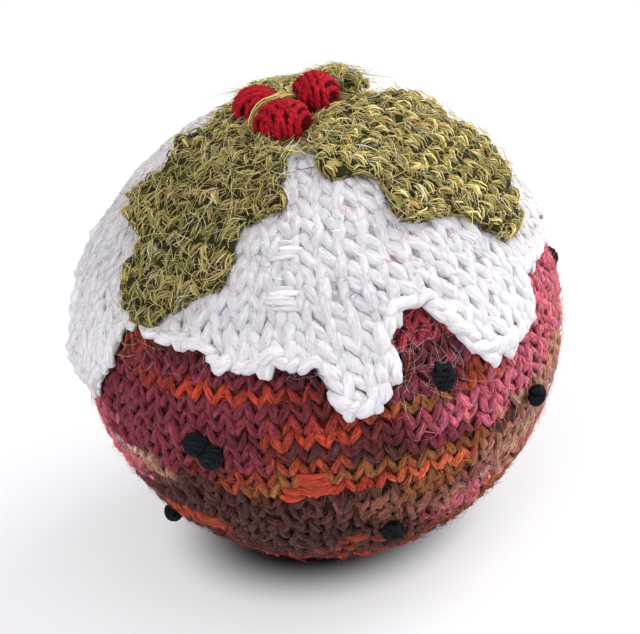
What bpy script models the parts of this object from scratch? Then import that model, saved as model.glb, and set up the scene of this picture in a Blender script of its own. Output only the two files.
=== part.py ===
"""A knitted toy Christmas pudding: a stuffed ball with icing, three holly leaves, berries and currants.

Metres, +Z up.  The origin is the middle of the flat spot that the ball rests on, and -Y is the front.
Places on the ball are given as a longitude (0 at the front, positive towards +X) and a latitude
(90 at the crown), both in degrees, seen from the ball's centre.
"""

import math

import bmesh
import bpy
from mathutils import Vector

# The stuffed ball.
BALL_RADIUS = 0.0498
FOOT_RADIUS = 0.0115
CROWN_DRAW = 0.0040            # how far the icing's stitches draw the upper half in
CROWN_DRAW_START = 0.0        # latitude where the drawing in begins
CROWN_DRAW_END = 48.0          # latitude where it is complete
DIMPLE_DEPTH = 0.0030          # the crown is gathered where the berries are sewn on
DIMPLE_HALF_ANGLE = 34.0
BALL_STEPS = 40
BALL_RINGS = 22
BALL_CENTRE = math.sqrt(BALL_RADIUS ** 2 - FOOT_RADIUS ** 2)

# Knitted pieces lie on each other with this much air between them.
GAP = 0.00040

# The icing: a cap of thick yarn whose edge hangs in drips.
ICING_THICKNESS = 0.0025
DRIP_BEAD = 0.0003             # the icing is this much thicker at the end of a long drip
ICING_STEPS = 116
ICING_RINGS = 16
ICING_BAY_LATITUDE = 25.5      # the edge between two drips
DRIP_START = 0.5               # share of the way down where a drip begins to run
DRIPS = (                      # longitude, half width and latitude of the lowest point
    (-72.0, 17.0, 3.0),
    (-37.0, 14.0, 21.5),
    (-21.0, 9.5, 17.3),
    (-7.0, 7.0, 17.2),
    (6.5, 9.5, 6.2),
    (45.0, 15.6, 7.8),
    (70.0, 15.0, 18.0),
    (93.0, 10.5, 19.0),
    (122.0, 14.0, 12.0),
    (147.0, 10.5, 4.0),
    (170.0, 13.0, 16.5),
    (-168.0, 9.0, 6.0),
    (-143.0, 14.0, 14.0),
    (-118.0, 9.5, 7.0),
    (-98.0, 11.0, 17.5),
)

# Holly leaves.  "near" is how far from the crown each line of the grid starts, from west to east,
# which leaves room for the berries.  Each side of the outline is a list of (distance from the
# crown, reach from the midline); east is the side of growing longitude.  "lift" is how high a
# side stands off, and the reach where it is fully up.
LEAF_THICKNESS = 0.0022
LEAF_EDGE_ROUNDING = 0.0007
LEAF_CELLS_ALONG = 17
LEAF_CELLS_ACROSS = 6
LEFT_LEAF = {
    "heading": -45.0,
    "lift": {"east": (0.0008, 0.020), "west": (0.0009, 0.020)},
    "near": (0.0035, 0.0088, 0.0094, 0.0102, 0.0128, 0.0134, 0.0134),
    "east": ((0.0100, 0.0040), (0.0128, 0.0070), (0.0146, 0.0122), (0.0170, 0.0137), (0.0205, 0.0145),
             (0.0255, 0.0192), (0.0296, 0.0157), (0.034, 0.0118), (0.039, 0.0138), (0.046, 0.0132),
             (0.051, 0.0068), (0.0570, 0.0010)),
    "west": ((0.0030, 0.0132), (0.0092, 0.0106), (0.0125, 0.0132), (0.0155, 0.0168), (0.021, 0.0148),
             (0.026, 0.0135), (0.032, 0.0208), (0.037, 0.0178), (0.042, 0.0088), (0.047, 0.0108),
             (0.054, 0.0086), (0.0570, 0.0048)),
}
RIGHT_LEAF = {
    "heading": 62.0,
    "lift": {"east": (0.0012, 0.020), "west": (0.0006, 0.020)},
    "near": (0.0115, 0.0100, 0.0092, 0.0090, 0.0100, 0.0100, 0.0092),
    "west": ((0.0090, 0.0118), (0.0111, 0.0135), (0.0135, 0.0168), (0.016, 0.0193), (0.0185, 0.0190),
             (0.023, 0.0148), (0.028, 0.0146), (0.0335, 0.0186), (0.0385, 0.0188), (0.0408, 0.0110),
             (0.0440, 0.0072), (0.0500, 0.0050), (0.0550, 0.0015)),
    "east": ((0.0090, 0.0080), (0.0120, 0.0112), (0.0155, 0.0140), (0.019, 0.0192), (0.024, 0.0210),
             (0.030, 0.0170), (0.037, 0.0210), (0.042, 0.0185), (0.047, 0.0140), (0.052, 0.0080),
             (0.0550, 0.0030)),
}
BACK_LEAF = {
    "heading": 171.0,
    "lift": {"east": (0.0006, 0.020), "west": (0.0021, 0.006)},
    "near": (0.0085, 0.0090, 0.0088, 0.0068, 0.0062, 0.0070, 0.0062),
    "west": ((0.0060, 0.0142), (0.0115, 0.0138), (0.0160, 0.0112), (0.0220, 0.0095), (0.0300, 0.0105),
             (0.0360, 0.0130), (0.0430, 0.0085), (0.0500, 0.0070), (0.0560, 0.0040)),
    "east": ((0.0060, 0.0095), (0.0105, 0.0130), (0.0150, 0.0116), (0.0210, 0.0104), (0.0280, 0.0120),
             (0.0360, 0.0150), (0.0430, 0.0105), (0.0500, 0.0080), (0.0560, 0.0045)),
}

# Berries: low wound bobbles in the dimple of the crown.  Place, half sizes and turn of the strands.
BERRY_STEPS = 16
BERRY_RINGS = 10
BERRY_STRANDS = 5
BERRY_RIDGE = 0.07             # ridge height as a share of the berry's size
BERRY_FLAT = 0.82              # share of the lower half left where a berry is sewn down
BERRIES = {
    "berry_front": {"at": (-0.0009, -0.0088), "half": (0.0060, 0.0049, 0.0046), "turn": 20.0},
    "berry_right": {"at": (0.0058, 0.0022), "half": (0.0050, 0.0052, 0.0045), "turn": 75.0},
    "berry_left": {"at": (-0.0060, 0.0018), "half": (0.0048, 0.0050, 0.0040), "turn": -40.0},
}

# Currants: knots of black yarn.  Longitude, latitude, half length, half width, turn of the long axis.
CURRANT_HEIGHT = 0.0034
CURRANT_STEPS = 10
CURRANT_RINGS = 6
CURRANTS = (
    (-31.0, -2.0, 0.0045, 0.0032, -40.0),
    (25.5, 9.0, 0.0026, 0.0033, 10.0),
    (52.5, -8.8, 0.0022, 0.0024, 0.0),
    (103.0, 0.0, 0.0026, 0.0024, 60.0),
    (-69.0, -40.5, 0.0026, 0.0022, 35.0),
    (10.5, -31.0, 0.0025, 0.0028, 0.0),
    (116.0, -21.0, 0.0030, 0.0025, 50.0),
    (139.0, -32.0, 0.0025, 0.0025, 0.0),
    (128.0, 6.0, 0.0025, 0.0028, -20.0),
    (168.0, -9.0, 0.0037, 0.0029, 35.0),
    (-160.0, -28.0, 0.0026, 0.0024, 0.0),
    (-134.0, -4.0, 0.0028, 0.0025, 70.0),
    (-103.0, -19.0, 0.0026, 0.0027, -30.0),
)
CURRANT_FLAT = 0.45             # share of the lower half left where a knot lies on the ball
CURRANT_WAIST = 0.22           # a long knot is drawn in at its middle
LONG_KNOT_RATIO = 1.25

COLOURS = {
    "pudding": (0.15, 0.035, 0.030),
    "icing": (0.80, 0.79, 0.80),
    "leaf": (0.20, 0.17, 0.055),
    "berry": (0.38, 0.010, 0.018),
    "currant": (0.008, 0.010, 0.014),
}
WOOL_ROUGHNESS = 0.95


def smooth_step(value, low, high):
    """0 below low, 1 above high, with an S-shaped rise between."""
    share = min(max((value - low) / (high - low), 0.0), 1.0)
    return share * share * (3.0 - 2.0 * share)


def direction(longitude, latitude):
    """Unit vector from the ball's centre to a place on it."""
    lon = math.radians(longitude)
    lat = math.radians(latitude)
    return Vector((math.cos(lat) * math.sin(lon), -math.cos(lat) * math.cos(lon), math.sin(lat)))


def ball_radius(latitude):
    """Distance from the ball's centre to its surface."""
    radius = BALL_RADIUS - CROWN_DRAW * smooth_step(latitude, CROWN_DRAW_START, CROWN_DRAW_END)
    from_crown = min((90.0 - latitude) / DIMPLE_HALF_ANGLE, 1.0)
    return radius - DIMPLE_DEPTH * 0.5 * (1.0 + math.cos(math.pi * from_crown))


def icing_radius(latitude):
    """Distance from the ball's centre to the outside of the icing."""
    return ball_radius(latitude) + GAP + ICING_THICKNESS


def angle_between(first, second):
    """Shortest turn from one longitude to another."""
    return (first - second + 180.0) % 360.0 - 180.0


def drip_depth(longitude):
    """How many degrees the edge of the icing hangs below a bay at this longitude."""
    hang = 0.0
    for centre, half_width, tip in DRIPS:
        offset = abs(angle_between(longitude, centre)) / half_width
        if offset < 1.0:
            hang = max(hang, (ICING_BAY_LATITUDE - tip) * (1.0 - offset ** 3.0) ** 0.75)
    return hang


def place(direction_vector, radius):
    """Point at a distance from the ball's centre, in the part's frame."""
    return direction_vector * radius + Vector((0.0, 0.0, BALL_CENTRE))


def new_collection(name):
    collection = bpy.data.collections.new(name)
    bpy.context.scene.collection.children.link(collection)
    return collection


def wool(name):
    """A matt material in the yarn's mean colour."""
    material = bpy.data.materials.new(name)
    material.use_nodes = True
    shader = material.node_tree.nodes["Principled BSDF"]
    shader.inputs["Base Color"].default_value = (*COLOURS[name], 1.0)
    shader.inputs["Roughness"].default_value = WOOL_ROUGHNESS
    shader.inputs["Metallic"].default_value = 0.0
    return material


def add_object(name, bm, material):
    """Make an object of a bmesh, smooth shaded, in the part's collection."""
    mesh = bpy.data.meshes.new(name)
    bm.to_mesh(mesh)
    bm.free()
    mesh.shade_smooth()
    mesh.materials.append(material)
    piece = bpy.data.objects.new(name, mesh)
    PARTS.objects.link(piece)
    return piece


def round_form(name, steps, rings, shape, material):
    """A sphere primitive whose points are moved by shape(unit point)."""
    bm = bmesh.new()
    bmesh.ops.create_uvsphere(bm, u_segments=steps, v_segments=rings, radius=1.0)
    for vertex in bm.verts:
        vertex.co = shape(vertex.co.copy())
    return add_object(name, bm, material)


def make_ball():
    """The stuffed ball, turned from its half section, with a flat spot underneath."""
    foot_latitude = -90.0 + math.degrees(math.asin(FOOT_RADIUS / BALL_RADIUS))
    bm = bmesh.new()
    section = []
    for ring in range(BALL_RINGS + 1):
        latitude = 90.0 + (foot_latitude - 90.0) * ring / BALL_RINGS
        radius = ball_radius(latitude)
        across = radius * math.cos(math.radians(latitude))
        height = BALL_CENTRE + radius * math.sin(math.radians(latitude))
        section.append(bm.verts.new((max(across, 0.0), 0.0, height)))
    section[0].co.x = 0.0
    section[-1].co.z = 0.0
    section.append(bm.verts.new((0.0, 0.0, 0.0)))
    for upper, lower in zip(section, section[1:]):
        bm.edges.new((upper, lower))
    ball = add_object("pudding", bm, wool("pudding"))
    screw = ball.modifiers.new("turned", "SCREW")
    screw.axis = "Z"
    screw.steps = BALL_STEPS
    screw.render_steps = BALL_STEPS
    screw.use_smooth_shade = True
    screw.use_merge_vertices = True
    screw.merge_threshold = 0.00001
    return ball


def make_icing():
    """The icing: the sphere's upper half becomes its outside and the lower half its inside."""

    def shape(point):
        longitude = math.degrees(math.atan2(point.x, -point.y))
        polar = math.degrees(math.acos(max(-1.0, min(1.0, point.z))))
        outside = polar <= 90.0 + 0.01
        reach = min(polar if outside else 180.0 - polar, 90.0) / 90.0
        hang = drip_depth(longitude)
        drip_share = smooth_step(reach, DRIP_START, 1.0)
        latitude = 90.0 - (90.0 - ICING_BAY_LATITUDE) * reach - hang * drip_share
        bead = DRIP_BEAD * smooth_step(hang, 8.0, 18.0) * smooth_step(reach, 0.6, 0.9)
        fullness = math.sqrt(max(0.0, 1.0 - reach ** 5))
        height = 0.5 * (1.0 + fullness) if outside else 0.5 * (1.0 - fullness)
        radius = ball_radius(latitude) + GAP + (ICING_THICKNESS + bead) * height
        return place(direction(longitude, latitude), radius)

    return round_form("icing", ICING_STEPS, ICING_RINGS, shape, wool("icing"))


def reach_at(outline, distance):
    """Smoothly join the points of one side of a leaf's outline."""
    for (near, low), (far, high) in zip(outline, outline[1:]):
        if distance <= far:
            return low + (high - low) * smooth_step(distance, near, far)
    return outline[-1][1]


def make_leaf(name, leaf, material):
    """A lobed leaf, bent over the icing, with the cells of a flat grid moved to its outline."""
    heading = math.radians(leaf["heading"])
    forward = Vector((math.sin(heading), -math.cos(heading), 0.0))
    sideways = Vector((math.cos(heading), math.sin(heading), 0.0))
    tip = leaf["east"][-1][0]
    bm = bmesh.new()
    bmesh.ops.create_grid(bm, x_segments=LEAF_CELLS_ALONG, y_segments=LEAF_CELLS_ACROSS, size=1.0)
    for vertex in bm.verts:
        share = vertex.co.y
        near = leaf["near"][round(0.5 * (share + 1.0) * LEAF_CELLS_ACROSS)]
        along = near + (tip - near) * 0.5 * (vertex.co.x + 1.0)
        side = "east" if share > 0.0 else "west"
        reach = share * reach_at(leaf[side], along)
        meridian = along / BALL_RADIUS
        lateral = reach / BALL_RADIUS
        ridge = forward * math.sin(meridian) + Vector((0.0, 0.0, 1.0)) * math.cos(meridian)
        way = ridge * math.cos(lateral) + sideways * math.sin(lateral)
        latitude = math.degrees(math.asin(way.z))
        height, full_reach = leaf["lift"][side]
        lift = height * smooth_step(abs(reach), 0.0, full_reach)
        vertex.co = place(way, icing_radius(latitude) + GAP + LEAF_THICKNESS + lift)
    leaf_object = add_object(name, bm, material)
    thickness = leaf_object.modifiers.new("thickness", "SOLIDIFY")
    thickness.thickness = LEAF_THICKNESS
    thickness.offset = -1.0
    rounding = leaf_object.modifiers.new("rounding", "BEVEL")
    rounding.width = LEAF_EDGE_ROUNDING
    rounding.segments = 1
    rounding.limit_method = "ANGLE"
    rounding.angle_limit = math.radians(50.0)
    return leaf_object


def make_berry(name, berry, material):
    """A bobble wound of thick strands, flattened where it is sewn to the crown."""
    half_x, half_y, half_z = berry["half"]
    at_x, at_y = berry["at"]
    turn = math.radians(berry["turn"])
    spread = math.hypot(at_x, at_y) + 0.5 * max(half_x, half_y)
    under = icing_radius(90.0 - math.degrees(spread / BALL_RADIUS))
    rest = BALL_CENTRE + math.sqrt(under ** 2 - spread ** 2) + GAP

    def shape(point):
        around = math.atan2(point.y, point.x) + turn
        strand = math.cos(BERRY_STRANDS * around + 2.2 * point.z)
        swell = 1.0 + BERRY_RIDGE * strand * (1.0 - point.z ** 4)
        low = max(point.z, -BERRY_FLAT)
        return Vector((at_x + half_x * point.x * swell,
                       at_y + half_y * point.y * swell,
                       rest + half_z * (low + BERRY_FLAT)))

    return round_form(name, BERRY_STEPS, BERRY_RINGS, shape, material)


def make_currant(name, currant, material):
    """A yarn knot that lies on the ball, with its long axis turned in the surface."""
    longitude, latitude, half_length, half_width, turn = currant
    normal = direction(longitude, latitude)
    east = Vector((0.0, 0.0, 1.0)).cross(normal).normalized()
    north = normal.cross(east)
    angle = math.radians(turn)
    long_axis = east * math.cos(angle) + north * math.sin(angle)
    short_axis = normal.cross(long_axis)
    is_long = half_length > LONG_KNOT_RATIO * half_width
    foot = ball_radius(latitude) + GAP

    def shape(point):
        waist = CURRANT_WAIST * (1.0 - smooth_step(abs(point.x), 0.0, 0.5)) if is_long else 0.0
        low = max(point.z, -CURRANT_FLAT)
        lift = (low + CURRANT_FLAT) / (1.0 + CURRANT_FLAT) * CURRANT_HEIGHT * (1.0 - 0.5 * waist)
        across = half_width * point.y * (1.0 - waist)
        return (place(normal, foot + lift) + long_axis * half_length * point.x
                + short_axis * across)

    return round_form(name, CURRANT_STEPS, CURRANT_RINGS, shape, material)


def clear_scene():
    for old in list(bpy.data.objects):
        bpy.data.objects.remove(old)


clear_scene()
PARTS = new_collection("christmas_pudding")
make_ball()
make_icing()
LEAF_WOOL = wool("leaf")
make_leaf("leaf_left", LEFT_LEAF, LEAF_WOOL)
make_leaf("leaf_right", RIGHT_LEAF, LEAF_WOOL)
make_leaf("leaf_back", BACK_LEAF, LEAF_WOOL)
BERRY_WOOL = wool("berry")
for berry_name, berry_sizes in BERRIES.items():
    make_berry(berry_name, berry_sizes, BERRY_WOOL)
CURRANT_WOOL = wool("currant")
for number, currant_sizes in enumerate(CURRANTS, start=1):
    make_currant(f"currant_{number:02d}", currant_sizes, CURRANT_WOOL)
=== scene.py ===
"""The look of the knitted Christmas pudding: every solid of the frame is dressed in yarn.

Metres, +Z up, -Y is the front.  Places on the ball are a longitude (0 at the front, positive
towards +X) and a latitude (90 at the crown), in degrees, seen from the ball's centre.  Sizes of
yarn and stitches are in metres.
"""

import math

import bpy
import numpy as np
from mathutils import Matrix, Vector
from mathutils.bvhtree import BVHTree


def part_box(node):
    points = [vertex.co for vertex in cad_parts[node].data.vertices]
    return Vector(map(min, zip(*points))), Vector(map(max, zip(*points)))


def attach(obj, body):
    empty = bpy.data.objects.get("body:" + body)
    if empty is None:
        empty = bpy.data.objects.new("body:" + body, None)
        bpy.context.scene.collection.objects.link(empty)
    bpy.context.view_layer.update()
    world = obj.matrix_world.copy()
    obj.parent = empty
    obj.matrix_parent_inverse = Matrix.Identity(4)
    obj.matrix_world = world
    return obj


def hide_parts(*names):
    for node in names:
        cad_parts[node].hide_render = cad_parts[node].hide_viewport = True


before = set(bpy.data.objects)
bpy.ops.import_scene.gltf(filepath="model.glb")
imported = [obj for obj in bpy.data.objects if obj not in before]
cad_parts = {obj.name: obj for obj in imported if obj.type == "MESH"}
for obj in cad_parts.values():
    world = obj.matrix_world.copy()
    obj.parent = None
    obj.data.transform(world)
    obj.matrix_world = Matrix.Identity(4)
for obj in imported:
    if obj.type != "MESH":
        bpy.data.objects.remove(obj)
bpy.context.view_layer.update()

MM = 0.001

# ---------------------------------------------------------------------------------------------
# The frame as surfaces to lay yarn on
# ---------------------------------------------------------------------------------------------


def ball_centre():
    """The ball's centre, from its width and from the flat spot that it rests on."""
    lowest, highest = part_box("pudding")
    radius = 0.5 * (highest[0] - lowest[0])
    foot = 0.0
    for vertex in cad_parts["pudding"].data.vertices:
        if vertex.co.z < 1e-6:
            foot = max(foot, math.hypot(vertex.co.x, vertex.co.y))
    return Vector((0.0, 0.0, math.sqrt(radius ** 2 - foot ** 2))), radius


CENTRE, BALL_RADIUS = ball_centre()
CENTRE_POINT = np.array(CENTRE)
REACH = 0.09                   # rays start this far from the centre, outside everything


class Surface:
    """The outside of a CAD node, met by rays that run towards the ball's centre."""

    def __init__(self, node):
        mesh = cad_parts[node].data
        points = [vertex.co.copy() for vertex in mesh.vertices]
        faces = [tuple(face.vertices) for face in mesh.polygons]
        self.tree = BVHTree.FromPolygons(points, faces)

    def radius(self, way):
        """Distance from the centre to the node's outside along a unit vector, or 0 beside it."""
        way = Vector(way)
        hit = self.tree.ray_cast(CENTRE + way * REACH, -way, REACH)[0]
        return (hit - CENTRE).length if hit else 0.0

    def radii(self, ways):
        """radius() for an array of unit vectors."""
        flat = ways.reshape(-1, 3)
        return np.array([self.radius(way) for way in flat]).reshape(ways.shape[:-1])


def directions(longitude, latitude):
    """Unit vectors from the ball's centre."""
    lon = np.radians(longitude)
    lat = np.radians(latitude)
    return np.stack([np.cos(lat) * np.sin(lon), -np.cos(lat) * np.cos(lon), np.sin(lat)], -1)


def unit(vectors):
    return vectors / np.maximum(np.linalg.norm(vectors, axis=-1, keepdims=True), 1e-12)


BALL = Surface("pudding")
ICING = Surface("icing")
LEAVES = {name: Surface(name) for name in ("leaf_left", "leaf_right", "leaf_back")}
PROFILE_LATITUDES = np.linspace(-90.0, 90.0, 181)
PROFILE_RADII = BALL.radii(directions(np.full(181, 90.0), PROFILE_LATITUDES))


def ball_radius(latitude):
    """Distance from the centre to the ball's surface, foot and dimple included."""
    return np.interp(latitude, PROFILE_LATITUDES, PROFILE_RADII)


def latitude_of(ways):
    return np.degrees(np.arcsin(np.clip(ways[..., 2], -1.0, 1.0)))


def longitude_of(ways):
    return np.degrees(np.arctan2(ways[..., 0], -ways[..., 1]))


# ---------------------------------------------------------------------------------------------
# Colour
# ---------------------------------------------------------------------------------------------

WOOL_COLOURS = {               # sRGB, as the yarn looks in plain daylight
    "plum": (124, 43, 58),
    "dark_plum": (88, 29, 40),
    "maroon": (98, 33, 37),
    "crimson": (150, 44, 56),
    "brick": (142, 44, 37),
    "orange": (176, 60, 37), "coral": (216, 104, 64),
    "rust": (156, 62, 40),
    "ochre": (146, 82, 42),
    "brown": (79, 44, 36),
    "dark_brown": (62, 36, 31),
    "mahogany": (80, 41, 38),
    "cocoa": (140, 84, 68),
    "tan": (176, 124, 106),
    "beige": (180, 152, 144),
    "rose": (200, 99, 116),
    "pink": (218, 120, 130),
}


def linear(colour):
    """sRGB 0-255 to linear."""
    share = np.asarray(colour, float) / 255.0
    return np.where(share <= 0.04045, share / 12.92, ((share + 0.055) / 1.055) ** 2.4)


# Rows of the self-striping yarn, from the icing down: longitude and colour where a run is fullest.
ROW_PITCH_DEGREES = 3.6
TOP_ROW_LATITUDE = 29.1
STRIPES = (
    ((-80, "plum"), (-50, "brick"), (-25, "plum"), (22, "crimson"), (60, "rose"), (120, "plum"), (190, "brick")),
    ((-80, "plum"), (-52, "brick"), (-30, "plum"), (20, "crimson"), (60, "rose"), (115, "plum"), (185, "plum")),
    ((-75, "plum"), (-54, "brick"), (-35, "maroon"), (-8, "dark_plum"), (22, "crimson"), (58, "rose"),
     (120, "rose"), (180, "plum")),
    ((-75, "plum"), (-52, "brick"), (-42, "maroon"), (-20, "plum"), (-6, "dark_plum"), (22, "crimson"),
     (60, "rose"), (120, "rose"), (160, "plum"), (220, "orange")),
    ((-75, "plum"), (-45, "plum"), (-20, "plum"), (-6, "dark_plum"), (22, "maroon"), (40, "plum"), (65, "rose"),
     (120, "pink"), (165, "plum"), (215, "brick")),
    ((-75, "plum"), (-62, "plum"), (-46, "brick"), (-34, "orange"), (-18, "orange"), (-7, "brick"), (2, "maroon"),
     (20, "maroon"), (30, "plum"), (48, "rose"), (120, "rose"), (160, "orange"), (205, "brick")),
    ((-75, "plum"), (-25, "plum"), (-10, "maroon"), (4, "maroon"), (18, "plum"), (27, "plum"), (34, "rust"),
     (48, "rose"), (110, "rose"), (160, "plum"), (220, "plum")),
    ((-75, "plum"), (-25, "plum"), (-10, "brick"), (4, "brick"), (11, "rust"), (16, "ochre"), (21, "ochre"),
     (28, "plum"), (36, "rust"), (48, "rose"), (110, "rose"), (170, "plum"), (220, "maroon")),
    ((-75, "plum"), (-32, "plum"), (-20, "maroon"), (-8, "orange"), (3, "orange"), (9, "maroon"), (17, "plum"),
     (30, "rose"), (80, "rose"), (120, "tan"), (170, "rust"), (220, "plum")),
    ((-75, "rose"), (-50, "plum"), (-25, "plum"), (-12, "maroon"), (-3, "mahogany"), (6, "maroon"), (16, "maroon"),
     (28, "rose"), (58, "rose"), (72, "tan"), (120, "tan"), (180, "plum"), (220, "plum")),
    ((-75, "rose"), (-60, "plum"), (-22, "plum"), (-10, "rust"), (-2, "rust"), (8, "mahogany"), (16, "maroon"),
     (28, "plum"), (40, "rose"), (52, "tan"), (110, "tan"), (170, "ochre"), (215, "plum")),
    ((-75, "pink"), (-60, "beige"), (-50, "tan"), (-42, "plum"), (-30, "maroon"), (-20, "rust"), (-8, "ochre"),
     (3, "ochre"), (30, "ochre"), (42, "brown"), (60, "tan"), (110, "orange"), (170, "orange"), (220, "rust")),
    ((-75, "pink"), (-62, "rose"), (-50, "tan"), (-38, "brown"), (-26, "rust"), (-17, "ochre"), (-11, "orange"),
     (8, "orange"), (17, "coral"), (26, "coral"), (37, "rust"), (44, "tan"), (90, "tan"), (150, "orange"), (200, "ochre")),
    ((-75, "pink"), (-60, "rose"), (-48, "mahogany"), (-10, "mahogany"), (10, "brown"), (19, "ochre"),
     (30, "ochre"), (40, "tan"), (70, "beige"), (150, "brown"), (210, "tan")),
    ((-75, "rose"), (-58, "mahogany"), (-44, "mahogany"), (-10, "brown"), (10, "cocoa"), (20, "ochre"), (34, "cocoa"),
     (46, "tan"), (80, "tan"), (150, "dark_brown"), (215, "brown")),
    ((-75, "rose"), (-55, "mahogany"), (-10, "brown"), (14, "cocoa"), (40, "tan"), (75, "rose"), (140, "brown"),
     (210, "brown")),
    ((-70, "tan"), (-50, "rust"), (-40, "rust"), (-32, "brown"), (0, "brown"), (20, "cocoa"), (34, "rose"),
     (46, "tan"), (90, "pink"), (150, "brown"), (210, "orange")),
    ((-70, "brown"), (-46, "rust"), (-38, "orange"), (-30, "brown"), (0, "dark_brown"), (18, "cocoa"),
     (32, "pink"), (44, "ochre"), (90, "rust"), (140, "brown"), (215, "rust")),
    ((-70, "brown"), (-20, "brown"), (-6, "brown"), (1, "rust"), (7, "brown"), (22, "plum"), (34, "rose"),
     (44, "ochre"), (80, "tan"), (150, "dark_brown"), (220, "brown")),
    ((-70, "plum"), (-20, "brown"), (0, "brown"), (8, "rust"), (16, "brown"), (36, "ochre"), (80, "brown"),
     (150, "rose"), (220, "brown")),
    ((-70, "plum"), (-20, "brown"), (-8, "rust"), (4, "dark_brown"), (40, "rust"), (90, "plum"), (150, "rose"),
     (220, "brown")),
    ((-70, "maroon"), (-10, "brown"), (30, "brown"), (80, "plum"), (150, "ochre"), (220, "maroon")),
    ((-60, "brick"), (-10, "maroon"), (40, "orange"), (80, "maroon"), (150, "ochre"), (220, "brick")),
    ((-60, "orange"), (-15, "orange"), (20, "rust"), (60, "maroon"), (150, "brown"), (220, "orange")),
    ((-40, "maroon"), (40, "maroon"), (150, "brown"), (230, "plum")),
    ((-40, "plum"), (60, "plum"), (180, "plum")),
    ((-40, "rose"), (60, "plum"), (180, "brick")),
    ((-40, "rust"), (60, "orange"), (180, "rust")),
    ((-40, "brown"), (60, "brown"), (180, "tan")),
    ((-40, "brown"), (60, "brown"), (180, "brown")),
    ((-40, "maroon"), (60, "plum"), (180, "plum")),
    ((-40, "plum"), (60, "plum"), (180, "plum")),
    ((-40, "plum"), (60, "plum"), (180, "plum")),
)


def row_colour(row, longitudes):
    """Colours of one row of stitches: runs melt into each other between their fullest places."""
    knots = sorted(STRIPES[row])
    places = np.array([place for place, _ in knots], float)
    colours = np.array([linear(WOOL_COLOURS[name]) for _, name in knots])
    places = np.concatenate([[places[-1] - 360.0], places, [places[0] + 360.0]])
    colours = np.concatenate([colours[-1:], colours, colours[:1]])
    turned = (np.asarray(longitudes) - places[1]) % 360.0 + places[1]
    after = np.clip(np.searchsorted(places, turned), 1, len(places) - 1)
    share = (turned - places[after - 1]) / (places[after] - places[after - 1])
    share = np.clip(share * 1.8 - 0.4, 0.0, 1.0)[..., None]
    return colours[after - 1] * (1.0 - share) + colours[after] * share


def ball_colour(ways):
    """The stripe colour at any place on the ball."""
    rows = (TOP_ROW_LATITUDE - latitude_of(ways)) / ROW_PITCH_DEGREES
    nearest = np.clip(np.rint(rows).astype(int), 0, len(STRIPES) - 1)
    longitudes = longitude_of(ways)
    colours = np.zeros(ways.shape)
    for row in range(len(STRIPES)):
        chosen = nearest == row
        if chosen.any():
            colours[chosen] = row_colour(row, longitudes[chosen])
    return colours


# ---------------------------------------------------------------------------------------------
# Materials
# ---------------------------------------------------------------------------------------------


class Nodes:
    """Small help to write a material's nodes as plain lines."""

    def __init__(self, name):
        self.material = bpy.data.materials.new(name)
        self.material.use_nodes = True
        self.tree = self.material.node_tree
        self.shader = self.tree.nodes["Principled BSDF"]

    def add(self, kind, **settings):
        node = self.tree.nodes.new(kind)
        for key, value in settings.items():
            setattr(node, key, value)
        return node

    def link(self, output, socket):
        self.tree.links.new(output, socket)

    def noise(self, coordinates, scale, detail=3.0, roughness=0.6):
        node = self.add("ShaderNodeTexNoise")
        node.inputs["Scale"].default_value = scale
        node.inputs["Detail"].default_value = detail
        node.inputs["Roughness"].default_value = roughness
        self.link(coordinates, node.inputs["Vector"])
        return node.outputs["Fac"]

    def stretch(self, coordinates, along, around):
        node = self.add("ShaderNodeMapping")
        node.inputs["Scale"].default_value = (along, around, 1.0)
        self.link(coordinates, node.inputs["Vector"])
        return node.outputs["Vector"]

    def ranged(self, value, low, high, to_low, to_high):
        node = self.add("ShaderNodeMapRange")
        self.link(value, node.inputs["Value"])
        for socket, number in (("From Min", low), ("From Max", high), ("To Min", to_low), ("To Max", to_high)):
            node.inputs[socket].default_value = number
        return node.outputs["Result"]

    def math(self, operation, first, second):
        node = self.add("ShaderNodeMath", operation=operation)
        for socket, value in zip(node.inputs, (first, second)):
            if isinstance(value, (int, float)):
                socket.default_value = value
            else:
                self.link(value, socket)
        return node.outputs[0]

    def mix(self, blend, share, first, second):
        node = self.add("ShaderNodeMix", data_type="RGBA", blend_type=blend)
        for socket, value in ((node.inputs[0], share), (node.inputs[6], first), (node.inputs[7], second)):
            if isinstance(value, (int, float)):
                socket.default_value = value
            elif isinstance(value, tuple):
                socket.default_value = (*value, 1.0)
            else:
                self.link(value, socket)
        return node.outputs[2]

    def bump(self, height, strength, distance):
        node = self.add("ShaderNodeBump")
        node.inputs["Strength"].default_value = strength
        node.inputs["Distance"].default_value = distance
        self.link(height, node.inputs["Height"])
        self.link(node.outputs["Normal"], self.shader.inputs["Normal"])


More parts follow.
